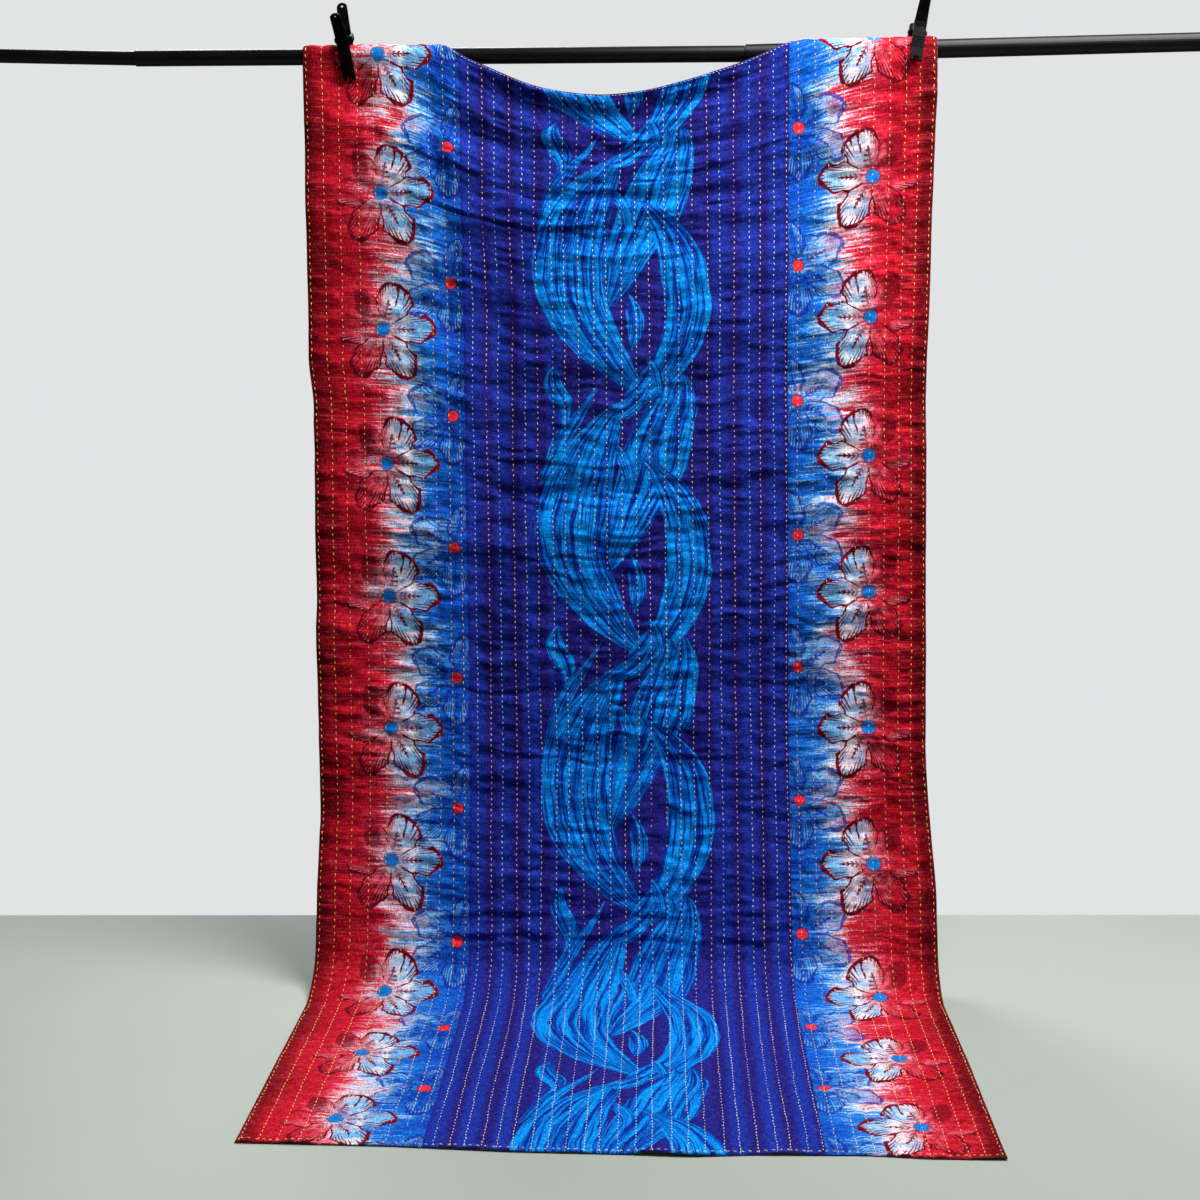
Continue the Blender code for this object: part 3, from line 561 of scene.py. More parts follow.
def grid_faces(lines, columns, facing_front=True):
    i, j = np.meshgrid(np.arange(lines - 1), np.arange(columns - 1), indexing="ij")
    a = (i * columns + j).ravel()
    quads = np.stack([a, a + columns, a + columns + 1, a + 1], axis=1)
    return quads if facing_front else quads[:, ::-1]


def rimmed(inner, reach):
    """Places with the rim's steps added at both ends, and the height share at each."""
    outward = [share * reach for _, share in RIM[1:]]
    heights = [share for share, _ in RIM[1:]]
    low = [inner[0] - out for out in outward[::-1]]
    high = [inner[-1] + out for out in outward]
    places = np.concatenate([low, inner, high])
    share = np.concatenate([heights[::-1], np.ones(len(inner)), heights])
    return places, share


def face_columns(per_channel):
    inside = ROWS[:-1, None] + np.diff(ROWS)[:, None] * np.arange(per_channel) / per_channel
    return np.append(inside.ravel(), ROWS[-1])


def cloth_lines():
    """Lines down the cloth, closer together where it hangs and puckers."""
    hanging = np.linspace(CORNER_LAP, FLOOR_LINES_FROM, HANGING_LINES, endpoint=False)
    return np.concatenate([hanging, np.linspace(FLOOR_LINES_FROM, LAST_LINE, FLOOR_LINES)])


def make_sheet(name, side, per_channel, lip, lowest):
    """One side of the cloth, 1 in front or -1 behind, with its rim turned round the hems."""
    half = QUILT_THICKNESS / 2.0
    columns, column_share = rimmed(face_columns(per_channel), half + lip / 2.0)
    lines, line_share = rimmed(cloth_lines(), half + lip)
    u, w = np.meshgrid(columns, lines)
    share = np.minimum(column_share[None, :], line_share[:, None])
    puffed = relief(u, w) if side > 0 else np.minimum(relief(u, w), 0.0)
    points = surface(u, w, side * half * share + puffed * np.clip(share, 0.0, 1.0))
    points[..., 2] = np.maximum(points[..., 2], lowest)
    faces = grid_faces(len(lines), len(columns), facing_front=side > 0)
    sheet = mesh_object(name, points.reshape(-1, 3), faces)
    place = np.stack([u, print_place(u, w), grain(u, w)], axis=-1)
    layer = sheet.data.attributes.new("place", "FLOAT_VECTOR", "POINT")
    layer.data.foreach_set("vector", place.astype(np.float32).ravel())
    return sheet, (columns[1:] + columns[:-1]) / 2.0, len(lines) - 1


def make_face():
    face, middles, rows = make_sheet("quilt_face", 1.0, COLUMNS_PER_CHANNEL, 0.0, FACE_LOWEST)
    for zone in PRINT_ZONES:
        face.data.materials.append(cloth_material(zone))
    zones = np.tile(print_zone(middles), rows).astype(np.int32)
    face.data.polygons.foreach_set("material_index", zones)
    return face


def make_backing():
    backing = make_sheet("quilt_backing", -1.0, BACK_COLUMNS_PER_CHANNEL, BACKING_LIP,
                         BACKING_LOWEST)[0]
    give(backing, backing_material())
    return backing


def print_zone(u):
    """The number in PRINT_ZONES of the print that covers a place across."""
    inside = np.minimum(u - PANEL_EDGE[0], PANEL_EDGE[1] - u)
    return np.where(inside > PRINTS_MEET, 1, np.where(inside < -PRINTS_MEET, 0, 2))


# ---- stitches
def row_places(u, pitch, phase):
    """Cloth lines of the stitches' middles along a row, evenly spaced on the hanging cloth."""
    dense = np.linspace(CORNER_LAP, LAST_LINE, ROW_SAMPLES)
    s = along(np.full_like(dense, u), dense)
    middles = np.arange(s[0] + ROW_ENDS[0] + pitch * phase, s[-1] - ROW_ENDS[1], pitch)
    return np.interp(middles, s, dense), np.interp(middles, s, np.gradient(dense, s))


def row_pitch(u):
    return STITCH_PITCH * (PANEL_PITCH_SHARE if PANEL_EDGE[0] < u < PANEL_EDGE[1] else 1.0)


def stitch_mesh(name, stitches, sides, side):
    """Short bent threads. Each stitch is (u, w, across, down): its middle and its half run."""
    u, w, across, down = np.array(stitches).T
    run = np.hypot(across, down)
    side_u, side_w = down / run, -across / run
    points = []
    for share, proud in STITCH_BENDS:
        at_u, at_w = u + across * share, w + down * share
        puffed = relief(at_u, at_w) if side > 0 else 0.0
        height = side * (QUILT_THICKNESS / 2.0 + puffed + proud)
        for turn in np.arange(sides) * 2.0 * math.pi / sides:
            out, up = STITCH_RADIUS * math.cos(turn), STITCH_RADIUS * math.sin(turn)
            points.append(surface(at_u + side_u * out, at_w + side_w * out, height + up))
    count = len(points)
    quads = np.array([(a + k, a + (k + 1) % sides, a + sides + (k + 1) % sides, a + sides + k)
                      for a in range(0, count - sides, sides) for k in range(sides)])
    faces = (np.arange(len(u))[:, None, None] * count + quads[None]).reshape(-1, 4)
    points = np.stack(points, axis=1).reshape(-1, 3)
    return mesh_object(name, points, faces if side > 0 else faces[:, ::-1])


def long_rows(random, length, offset):
    """Stitches of all the rows that run down the cloth."""
    stitches = []
    for number, row in enumerate(ROWS):
        u = row + EDGE_ROW_INSET * ((number == 0) - (number == len(ROWS) - 1))
        places, stretch = row_places(u, row_pitch(u), random.uniform())
        stray = random.normal(0.0, STITCH_STRAY, len(places))
        stray = stray + row_drift(np.full_like(places, u), places)
        size = length * random.uniform(*STITCH_VARIED, len(places))
        size = size * (row_pitch(u) / STITCH_PITCH)
        tilt = random.normal(0.0, STITCH_TILT, len(places))
        stitches += zip(u + stray, places + offset * stretch, tilt, size * stretch / 2.0)
    return stitches


def hem_rows(random):
    """The stitches across, over the top hem and beside the bottom one."""
    stitches = []
    for line, step, length in HEM_STITCHES:
        for u in np.arange(ROWS[0] + HEM_ROW_ENDS[0], ROWS[-1] - HEM_ROW_ENDS[1], step):
            half = length * random.uniform(*HEM_STITCH_VARIED) / 2.0
            stray, tilt = random.normal(0.0, HEM_STITCH_STRAY), random.normal(0.0, HEM_STITCH_STRAY)
            stitches.append((u + stray, line, half, tilt))
    return stitches


def make_stitches():
    random = np.random.default_rng(SEED)
    front = long_rows(random, STITCH_LENGTH, 0.0) + hem_rows(random)
    border = [stitch for stitch in front if not PANEL_EDGE[0] < stitch[0] < PANEL_EDGE[1]]
    panel = [stitch for stitch in front if PANEL_EDGE[0] < stitch[0] < PANEL_EDGE[1]]
    back = long_rows(random, BACK_STITCH_LENGTH, STITCH_PITCH / 2.0)
    back = [stitch for stitch in back if stitch[1] < BACK_STITCHES_TO]
    return [stitch_mesh("stitches_border", border, FRONT_SIDES, 1.0),
            stitch_mesh("stitches_panel", panel, FRONT_SIDES, 1.0),
            stitch_mesh("stitches_back", back, BACK_SIDES, -1.0)]


# ---- node building
def rgb(red, green, blue):
    """A colour given as it looks on a screen, 0 to 255, as the shader wants it."""
    def linear(value):
        value /= 255.0
        return value / 12.92 if value <= 0.04045 else ((value + 0.055) / 1.055) ** 2.4
    return (linear(red), linear(green), linear(blue), 1.0)


def operator(operation, swapped=False):
    def apply(self, other):
        return self.nodes.math(operation, *((other, self) if swapped else (self, other)))
    return apply


class Field:
    """A number that varies over a surface, as an output of a material's nodes."""

    def __init__(self, nodes, socket):
        self.nodes = nodes
        self.socket = socket

    def __abs__(self):
        return self.nodes.math("ABSOLUTE", self)

    __add__ = __radd__ = operator("ADD")
    __mul__ = __rmul__ = operator("MULTIPLY")
    __sub__, __rsub__ = operator("SUBTRACT"), operator("SUBTRACT", swapped=True)
    __truediv__ = operator("DIVIDE")
    __pow__ = operator("POWER")


class Nodes:
    """A material under construction, with short names for the nodes that it uses."""

    def __init__(self, name, colour, roughness=0.5, **settings):
        self.material = bpy.data.materials.new(name)
        self.material.use_nodes = True
        self.material.diffuse_color = colour
        self.tree = self.material.node_tree
        self.shader = self.tree.nodes["Principled BSDF"]
        self.set(base_color=colour, roughness=roughness, **settings)

    def set(self, **settings):
        """Feeds the shader's sockets, named in small letters."""
        sockets = {socket.name.lower().replace(" ", "_"): socket for socket in self.shader.inputs}
        for name, value in settings.items():
            self.feed(sockets[name], value)

    def feed(self, socket, value):
        if isinstance(value, Field):
            self.tree.links.new(value.socket, socket)
        else:
            socket.default_value = value

    def node(self, kind, inputs=()):
        """A new node, its inputs fed by their names or numbers."""
        node = self.tree.nodes.new(f"ShaderNode{kind}")
        for key, value in dict(inputs).items():
            self.feed(node.inputs[key], value)
        return node

    def math(self, operation, *values):
        node = self.node("Math", enumerate(values))
        node.operation = operation
        return Field(self, node.outputs[0])

    def smooth(self, value, low, high):
        """0 below low, 1 above high, eased between; the other way round where low is higher."""
        node = self.node("MapRange", {
            "Value": value, "From Min": min(low, high), "From Max": max(low, high),
            "To Min": float(low > high), "To Max": float(low <= high)})
        node.interpolation_type = "SMOOTHSTEP"
        return Field(self, node.outputs["Result"])

    def noise(self, x, y, z=0.0, detail=2.0, rough=0.5):
        """Noise of mean one half, with cells of about size 1."""
        vector = Field(self, self.node("CombineXYZ", enumerate((x, y, z))).outputs[0])
        node = self.node("TexNoise", {
            "Vector": vector, "Scale": 1.0, "Detail": detail, "Roughness": rough})
        return Field(self, node.outputs["Fac"])

    def mix(self, share, first, second):
        """A colour between two, each a colour field or four numbers."""
        node = self.node("Mix")
        node.data_type = "RGBA"
        for number, value in ((0, share), (6, first), (7, second)):
            self.feed(node.inputs[number], value)
        return Field(self, node.outputs[2])

    def shade(self, share, colour):
        """A colour made darker or lighter by a share about 1."""
        out = self.mix(1.0, colour, share)
        out.socket.node.blend_type = "MULTIPLY"
        return out

    def ramp(self, value, stops):
        node = self.node("ValToRGB", {0: value})
        elements = node.color_ramp.elements
        for number, (position, colour) in enumerate(stops):
            stop = elements[number] if number < 2 else elements.new(position)
            stop.position, stop.color = position, colour
        return Field(self, node.outputs[0])

    def curve(self, value, points, low, high):
        """A soft curve through points of (0..1, low..high)."""
        node = self.node("FloatCurve", {"Value": value})
        line = node.mapping.curves[0]
        while len(line.points) < len(points):
            line.points.new(0.5, 0.5)
        for point, (place, height) in zip(line.points, points):
            point.location = (place, (height - low) / (high - low))
        node.mapping.update()
        return Field(self, node.outputs[0]) * (high - low) + low

    def split(self, vector):
        node = self.node("SeparateXYZ", {0: Field(self, vector)})
        return [Field(self, out) for out in node.outputs]

    def place(self):
        """Place across the cloth, distance down its print, and distance along its grain."""
        node = self.node("Attribute")
        node.attribute_name = "place"
        return self.split(node.outputs["Vector"])

    def position(self):
        return self.split(self.node("TexCoord").outputs["Object"])

    def speckle(self, scale, detail):
        """Noise that is fixed to the object, with a scale for x, y and z."""
        return self.noise(*(place * size for place, size in zip(self.position(), scale)), detail)

    def woven(self, u, v, coarse, fine):
        """Uneven yarns that run across and down the cloth."""
        across = self.noise(u * coarse, v * fine, 0.0, 2.0)
        return across * 0.5 + self.noise(u * fine, v * coarse, 5.0, 2.0) * 0.5

    def bump(self, height):
        """Bumps of this height, in metres."""
        node = self.node("Bump", {"Strength": 1.0, "Distance": 1.0, "Height": height})
        self.set(normal=Field(self, node.outputs[0]))


# ---- the printed pattern
def repeated(n, place, first, pitch):
    """Distance from the nearest repeat of something that comes every pitch from first."""
    turns = (place - first) / pitch
    return (turns - n.math("ROUND", turns)) * pitch


def by_side(side, pair):
    return pair[0] + (pair[1] - pair[0]) * side


def flower_place(n, side, u, p, row):
    """Distance towards the panel and down from the nearest flower of a row."""
    across, first, pitch = (by_side(side, pair) for pair in row)
    return (u - across) * (1.0 - side * 2.0), repeated(n, p, first, pitch)


class Petals:
    """Six pointed petals, unevenly set round (0, 0), as fields over the cloth."""

    def __init__(self, n, inwards, down, length, width, turn):
        sixth = math.pi / 3.0
        self.radius = n.math("SQRT", inwards * inwards + down * down)
        angle = n.math("ARCTAN2", down, inwards)
        off = (angle - TURNED_AT) / TURNED_WIDTH
        angle = angle + n.math("EXPONENT", off * off * -1.0) * TURNED_BY + turn
        number = n.math("ROUND", angle / sixth)
        local = angle - number * sixth
        reach = length * (1.0 + n.math("COSINE", (number - 1.0) * 1.3) * 0.10)
        x = self.radius * n.math("COSINE", local)
        y = self.radius * n.math("SINE", local)
        uneven = n.noise(inwards * 50.0, down * 50.0, number * 3.7, 2.0) - 0.5
        t = n.math("MAXIMUM", x / reach, 0.001)
        blunt = n.math("MAXIMUM", 1.0 - t, 0.0)
        profile = (t ** 1.35) * (blunt ** 0.92) * (width * 4.62)
        wavy = n.math("SINE", t * 19.0 + number * 1.7 + n.math("SIGN", y)) * 0.0020
        ragged = (uneven * 0.012 + wavy) * n.smooth(t, 0.15, 0.5)
        inside = profile - abs(y) + ragged
        short_of_tip = n.smooth(t, 1.01, 0.97)
        self.t = t
        self.number = number
        self.fill = n.smooth(inside, -0.0004, 0.0010) * n.smooth(t, 0.06, 0.12) * short_of_tip
        thick = 0.0016 + n.smooth(t, 0.60, 1.0) * 0.0044
        line = n.smooth(abs(inside) / thick, 1.20, 0.80)
        self.outline = line * n.smooth(t, 0.10, 0.24) * short_of_tip
        spread = y / (x + 0.060)
        comb = n.smooth(n.math("SINE", spread * HATCH_LINES + uneven * 3.0), 0.05, 0.50)
        depth = n.noise(spread * 24.0, number * 5.0, 0.0, 1.0) * 0.044 - 0.009
        combed = comb * n.smooth(inside - depth, 0.0014, -0.0014) * n.smooth(t, 0.42, 0.60)
        self.hatch = combed * self.fill
        arrow = n.math("FRACT", (x - abs(y) * 0.9) / RIB_SPACING)
        rib_width = n.smooth(t, 0.76, 0.30) * 0.0052 + 0.0004
        rib = n.smooth(arrow, 0.50, 0.42) * n.smooth(abs(y) / rib_width, 1.10, 0.90)
        rib = n.math("MAXIMUM", rib, n.smooth(abs(y), 0.0016, 0.0010))
        self.rib = rib * n.smooth(t, 0.12, 0.18) * n.smooth(t, 0.64, 0.60)


def border_ground(n, u, v, from_edge, flower_down):
    """Red selvedge to white to blue, blended in streaks and in tongues between the flowers."""
    broad = n.noise(u * 11.0, v * 21.0, 3.0, 2.0) - 0.5
    streak = n.noise(u * 14.0, v * 230.0, 0.0, 3.0, 0.6) - 0.5
    dash = n.noise(u * 190.0, v * 800.0, 7.0, 1.0) - 0.5
    tongue = n.math("COSINE", flower_down * (2.0 * math.pi / RED_FLOWERS[2][0]))
    wild = n.smooth(from_edge, 0.05, 0.13)
    blended = from_edge + tongue * 0.018 + (broad * 0.20 + streak * 0.24) * wild + dash * 0.10
    share = blended / BLEND_WIDTH
    out = n.ramp(share, (
        (0.00, rgb(122, 2, 15)), (0.08, rgb(144, 4, 19)), (0.15, rgb(170, 9, 28)),
        (0.33, rgb(190, 22, 46)), (0.41, rgb(208, 84, 106)), (0.48, rgb(228, 186, 198)),
        (0.54, rgb(196, 216, 232)), (0.61, rgb(104, 168, 220)), (0.69, rgb(14, 104, 200)),
        (0.97, rgb(2, 62, 172))))
    mottled = n.noise(u * 16.0, v * 330.0, 12.0, 2.0)
    in_red = n.smooth(share, 0.52, 0.42)
    light = n.mix(in_red, rgb(84, 152, 216), rgb(226, 84, 106))
    out = n.mix(n.smooth(mottled, 0.52, 0.70) * 0.30, out, light)
    dark = n.mix(in_red, rgb(2, 40, 132), rgb(120, 2, 22))
    return share, n.mix(n.smooth(mottled, 0.46, 0.30) * 0.34, out, dark)


def blue_flowers(n, out, blue_in, blue_down):
    flower = Petals(n, blue_in * -1.0, blue_down, 0.090, 0.0235, 0.52)
    shade = n.noise(blue_in * 55.0, blue_down * 55.0, 4.0, 2.0)
    even = abs(n.math("SINE", flower.number * 1.9 + 0.3))
    deep = n.smooth(shade + even * 0.16, 0.48, 0.62)
    fill = n.mix(deep, rgb(30, 112, 196), rgb(4, 46, 140))
    out = n.mix(flower.fill * 0.46, out, fill)
    out = n.mix(flower.hatch * (1.0 - deep * 0.3) * 0.60, out, rgb(132, 190, 232))
    return n.mix(n.math("MAXIMUM", flower.outline, flower.rib) * 0.8, out, rgb(8, 34, 142))


def red_flowers(n, out, share, flower_in, flower_down):
    flower = Petals(n, flower_in, flower_down, 0.095, 0.0255, 0.0)
    maroon = rgb(104, 4, 24)
    faint = n.smooth(flower_in, -0.012, -0.026) * n.smooth(flower_down, 0.018, 0.004)
    clear = 1.0 - faint
    inner = n.smooth(flower_in + flower.t * 0.012, -0.004, 0.022) * n.smooth(flower.t, 0.12, 0.42)
    cloud = n.noise(flower_in * 40.0, flower_down * 40.0, 9.0, 2.0)
    pale = n.mix(n.smooth(cloud + share * 0.5, 0.62, 0.84), rgb(228, 222, 230), rgb(116, 178, 222))
    blush = n.mix(n.smooth(cloud, 0.42, 0.70), rgb(184, 20, 40), rgb(224, 100, 118))
    upper = n.smooth(flower_down, -0.012, -0.026) * faint
    out = n.mix(flower.fill * upper * 0.80, out, rgb(112, 2, 22))
    filled = flower.fill * clear * n.smooth(flower.t, 0.12, 0.34) * 0.74
    out = n.mix(filled, out, n.mix(inner, blush, pale))
    out = n.mix(flower.hatch * clear, out, maroon)
    out = n.mix(flower.outline * (1.0 - faint * 0.9), out, maroon)
    out = n.mix(flower.rib * (0.50 + inner * 0.50), out, rgb(118, 4, 26))
    out = n.mix(n.smooth(flower.radius, 0.0150, 0.0128) * 0.8, out, maroon)
    return n.mix(n.smooth(flower.radius, 0.0126, 0.0108), out, rgb(14, 112, 196))


def border_print(n, u, p, v):
    """The side borders: a streaked ground, a row of red flowers, one of half-hidden blue ones."""
    side = n.math("GREATER_THAN", u, 0.0)
    from_edge = QUILT_WIDTH / 2.0 - abs(u)
    red_in, red_down = flower_place(n, side, u, p, RED_FLOWERS)
    blue_in, blue_down = flower_place(n, side, u, p, BLUE_FLOWERS)
    share, out = border_ground(n, u, v, from_edge, red_down)
    out = blue_flowers(n, out, blue_in, blue_down)
    out = red_flowers(n, out, share, red_in, red_down)
    dot = n.math("SQRT", blue_in * blue_in + blue_down * blue_down)
    out = n.mix(n.smooth(dot, 0.0125, 0.0108), out, rgb(14, 14, 72))
    out = n.mix(n.smooth(dot, 0.0108, 0.0094), out, rgb(226, 44, 64))
    # The band along each side edge darkens: partly the dark selvedge print, partly painted shade of
    # the edge turning back, more at the right.
    edge_print_and_painted_shade = by_side(side, SELVEDGE_PRINT_AND_PAINTED_SHADE)
    return n.mix(n.smooth(from_edge, 0.032, 0.014) * edge_print_and_painted_shade, out, rgb(78, 0, 10))


def hair_lines(n, across, along_p, lines, seed, dense=0.0):
    """Brushed lines that run along a strand: dark hairs, and a lighter or deeper blue between."""
    drift = (n.noise(across * 2.0, along_p * 9.0, seed + 1.0, 1.0) - 0.5) * 0.30
    fine = n.noise((across + drift) * lines, along_p * 8.0, seed, 2.0, 0.60)
    broad = n.noise((across + drift) * lines * 0.30, along_p * 5.0, seed + 5.0, 2.0)
    dark = n.smooth(fine + (broad - 0.5) * 0.60 + dense, 0.505, 0.560)
    return dark, n.smooth(broad, 0.40, 0.60)


def lay(n, out, cover, dark, tone):
    """A painted shape laid over what is there, with a darker rim."""
    colour = n.mix(tone, rgb(0, 136, 224), rgb(0, 92, 192))
    colour = n.mix(dark * 0.90, colour, rgb(2, 26, 124))
    rim = n.smooth(cover, 0.02, 0.30) * n.smooth(cover, 0.98, 0.60)
    return n.mix(rim * 0.5, n.mix(cover, out, colour), rgb(10, 26, 120))


def strand(n, out, u, p, seed, start, length, rows, lines):
    """One strand of the plait, repeated down it: rows of (share along, middle, half width)."""
    f = n.math("FRACT", (p - PLAIT_FIRST) / PLAIT_PITCH - start + 1.0)
    g = n.math("MINIMUM", f / length, 1.0)
    wander = (n.noise(p * 5.0, u * 3.0, seed, 1.0) - 0.5) * 0.016
    middle = n.curve(g, [(row[0], row[1]) for row in rows], -0.2, 0.2) + wander
    half = n.curve(g, [(row[0], row[2]) for row in rows], 0.0, 0.1)
    across = (u - middle) / half
    ragged = (n.noise(across * 4.0, p * 30.0, seed + 7.0, 2.0) - 0.5) * 0.007
    inside = half - abs(u - middle) + ragged
    cover = n.smooth(inside, 0.0, 0.0022) * n.math("LESS_THAN", f, length)
    ends = n.smooth(g, 0.20, 0.02) + n.smooth(g, 0.80, 0.98)
    dark, tone = hair_lines(n, across, p, lines, seed, ends * 0.07)
    return lay(n, out, cover, dark, tone)


def leaf(n, out, u, p, seed, at, turn, length, width):
    """A pointed leaf, bowed to one side, repeated down the print once in each turn of the plait."""
    near = repeated(n, p, PLAIT_FIRST + at[1] * PLAIT_PITCH, PLAIT_PITCH)
    x = (u - at[0]) * math.sin(turn) + near * math.cos(turn)
    y = (u - at[0]) * math.cos(turn) - near * math.sin(turn)
    t = x / length + 0.5
    bowed = y + (t - 0.5) * (t - 0.5) * (width * 2.4)
    room = n.math("MAXIMUM", t * (1.0 - t), 0.0) * (4.0 * width)
    ragged = (n.noise(x * 90.0, y * 40.0, seed, 2.0) - 0.5) * 0.006
    inside = room - abs(bowed) + ragged * n.smooth(room, 0.0, width)
    cover = n.smooth(inside, 0.0, 0.0020) * n.math("GREATER_THAN", room, 0.0004)
    dark, tone = hair_lines(n, bowed / width, x, 6.0, seed)
    return lay(n, out, cover, dark, tone)


# Strands from back to front: seed, start and length in turns, (share along, middle, half), lines.
PLAIT_STRANDS = (
    (81.0, 0.86, 0.46, ((0.0, -0.112, 0.002), (0.14, -0.120, 0.017), (0.30, -0.106, 0.022),
                        (0.46, -0.098, 0.010), (0.66, -0.112, 0.014), (1.0, -0.146, 0.004)), 8.0),
    (83.0, 0.90, 0.40, ((0.0, -0.030, 0.001), (0.20, -0.052, 0.006), (0.50, -0.092, 0.014),
                        (1.0, -0.136, 0.012)), 6.0),
    (41.0, 0.90, 0.78, ((0.0, 0.112, 0.004), (0.10, 0.104, 0.034), (0.26, 0.082, 0.056),
                        (0.48, 0.058, 0.062), (0.70, 0.020, 0.044), (0.88, -0.008, 0.022),
                        (1.0, -0.030, 0.002)), 20.0),
    (11.0, 0.00, 0.999, ((0.0, 0.006, 0.003), (0.09, -0.026, 0.032), (0.22, -0.060, 0.054),
                         (0.38, -0.084, 0.066), (0.55, -0.088, 0.066), (0.70, -0.068, 0.060),
                         (0.83, -0.030, 0.046), (0.93, 0.014, 0.026), (1.0, 0.056, 0.003)), 22.0),
    (51.0, 0.22, 0.83, ((0.0, 0.040, 0.004), (0.08, 0.074, 0.022), (0.22, 0.108, 0.038),
                        (0.42, 0.122, 0.044), (0.60, 0.118, 0.044), (0.80, 0.086, 0.036),
                        (0.92, 0.048, 0.022), (1.0, 0.016, 0.003)), 14.0),
)
# Leaves: seed, (place across, place in turns), turn, length, half width.
PLAIT_LEAVES = (
    (67.0, (0.030, 0.700), 0.05, 0.110, 0.017),
    (69.0, (0.040, 0.945), -0.65, 0.095, 0.017),
    (71.0, (0.086, 0.985), -0.30, 0.075, 0.013),
    (73.0, (0.020, 1.030), -0.95, 0.085, 0.016),
    (75.0, (0.066, 0.905), 0.30, 0.075, 0.011),
    (77.0, (0.012, 0.250), 0.30, 0.090, 0.014),
)


def plait_print(n, u, p, ground):
    """A plait of brushed strands down the middle of the panel, with leaves where they cross."""
    out = ground
    for row in PLAIT_STRANDS:
        out = strand(n, out, u, p, *row)
    for row in PLAIT_LEAVES:
        out = leaf(n, out, u, p, *row)
    return out


def panel_print(n, u, p, v):
    """The middle panel: soft blue and violet stripes behind the plait."""
    stripe = n.math("SINE", u * (2.0 * math.pi / STRIPE_PITCH) + 0.6)
    drift = n.noise(u * 30.0, p * 1.2, 8.0, 2.0) - 0.5
    share = n.smooth(stripe + drift * 2.4, -0.9, 0.9)
    behind = n.smooth(abs(u - PLAIT_MIDDLE), 0.17, 0.10)
    share = n.math("MAXIMUM", share, behind * 0.8)
    ground = n.mix(share, rgb(23, 46, 148), rgb(32, 26, 112))
    streak = n.noise(u * 12.0, v * 380.0, 3.0, 2.0) - 0.5
    ground = n.mix(n.smooth(streak, 0.02, 0.20) * 0.35, ground, rgb(12, 12, 92))
    return plait_print(n, u, p, ground)


def cloth_material(zone):
    """The printed cotton in one zone of the print, or where the two prints meet."""
    n = Nodes(f"printed_cotton_{zone}", rgb(60, 50, 170), roughness=0.85, specular_ior_level=0.05)
    u, p, v = n.place()
    print_u = u + (n.noise(u * 26.0, p * 26.0, 1.0, 1.0) - 0.5) * PRINT_WAVER
    print_p = p + (n.noise(u * 24.0, p * 24.0, 6.0, 1.0) - 0.5) * PRINT_WAVER
    if zone != "panel":
        printed = border = border_print(n, print_u, print_p, v)
    if zone != "border":
        printed = panel = panel_print(n, print_u, print_p, v)
    if zone == "both":
        left, right = PANEL_EDGE
        in_panel = n.smooth(print_u, left - EDGE_SOFT, left + EDGE_SOFT)
        in_panel = in_panel * n.smooth(print_u, right + EDGE_SOFT, right - EDGE_SOFT)
        printed = n.mix(in_panel, border, panel)
    slub = n.woven(u, v, 90.0, 520.0)
    printed = n.shade(slub * 3.8 - 0.86, printed)
    n.set(base_color=n.mix(n.smooth(slub, 0.54, 0.68) * 0.06, printed, rgb(216, 190, 216)))
    soft = n.noise(u * 34.0, v * 110.0, 2.0, 2.0) * 0.0016
    weave = n.noise(u * 1500.0, v * 1500.0, 0.0, 1.0) * 0.00018
    n.bump(soft + weave + slub * 0.00060)
    return n.material


# ---- other materials
def backing_material():
    n = Nodes("black_cotton_backing", rgb(24, 22, 30), roughness=0.9, sheen_weight=0.1)
    u, p, v = n.place()
    slub = n.woven(u, v, 70.0, 900.0)
    n.set(base_color=n.mix(n.smooth(slub, 0.35, 0.65), rgb(17, 16, 24), rgb(38, 36, 46)))
    wave = n.noise(u * 24.0, v * 105.0, 2.0, 1.0) - 0.5
    n.bump(n.smooth(abs(wave), 0.0, 0.11) * 0.0010 + slub * 0.00025)
    return n.material


def thread_material(name, deep, middle, light):
    n = Nodes(name, middle, roughness=0.75, specular_ior_level=0.2)
    x, y, z = n.position()
    tone = n.noise(x * 60.0, z * 60.0, y * 60.0, 2.0)
    n.set(base_color=n.ramp(tone, ((0.25, deep), (0.50, middle), (0.75, light))))
    n.bump(n.noise(x * 2400.0, z * 2400.0, y * 2400.0, 1.0) * 0.00012)
    return n.material


GOLD = (rgb(198, 146, 58), rgb(230, 192, 106), rgb(240, 218, 156))
PALE = (rgb(208, 178, 112), rgb(230, 216, 160), rgb(242, 234, 198))


def worn_black(name, colour, specular, patches, tones, rough, grain):
    """A black finish with paler, rougher patches. The tones come with the share they begin at."""
    start, first, second = tones
    n = Nodes(name, colour, specular_ior_level=specular)
    worn = n.speckle(patches, 3.0)
    n.set(base_color=n.mix(n.smooth(worn, start, 0.75), first, second),
          roughness=rough[0] + worn * rough[1])
    scale, height = grain
    n.bump(n.speckle((scale, scale, scale), 2.0) * height)
    return n.material


def bar_material():
    return worn_black("black_powder_coat", rgb(10, 10, 12), 0.17, (8.0, 30.0, 30.0),
                      (0.45, rgb(7, 7, 9), rgb(16, 17, 20)), (0.28, 0.16), (900.0, 0.00008))


def clamp_material():
    return worn_black("black_moulded_plastic", rgb(7, 7, 8), 0.03, (90.0, 90.0, 90.0),
                      (0.50, rgb(4, 4, 5), rgb(14, 14, 16)), (0.38, 0.22), (700.0, 0.00012))


def steel_material():
    n = Nodes("blackened_steel", rgb(52, 52, 55), metallic=1.0)
    brushed = n.speckle((2200.0, 160.0, 160.0), 2.0)
    n.set(base_color=n.mix(brushed, rgb(38, 38, 41), rgb(66, 66, 70)),
          roughness=0.34 + brushed * 0.2)
    return n.material


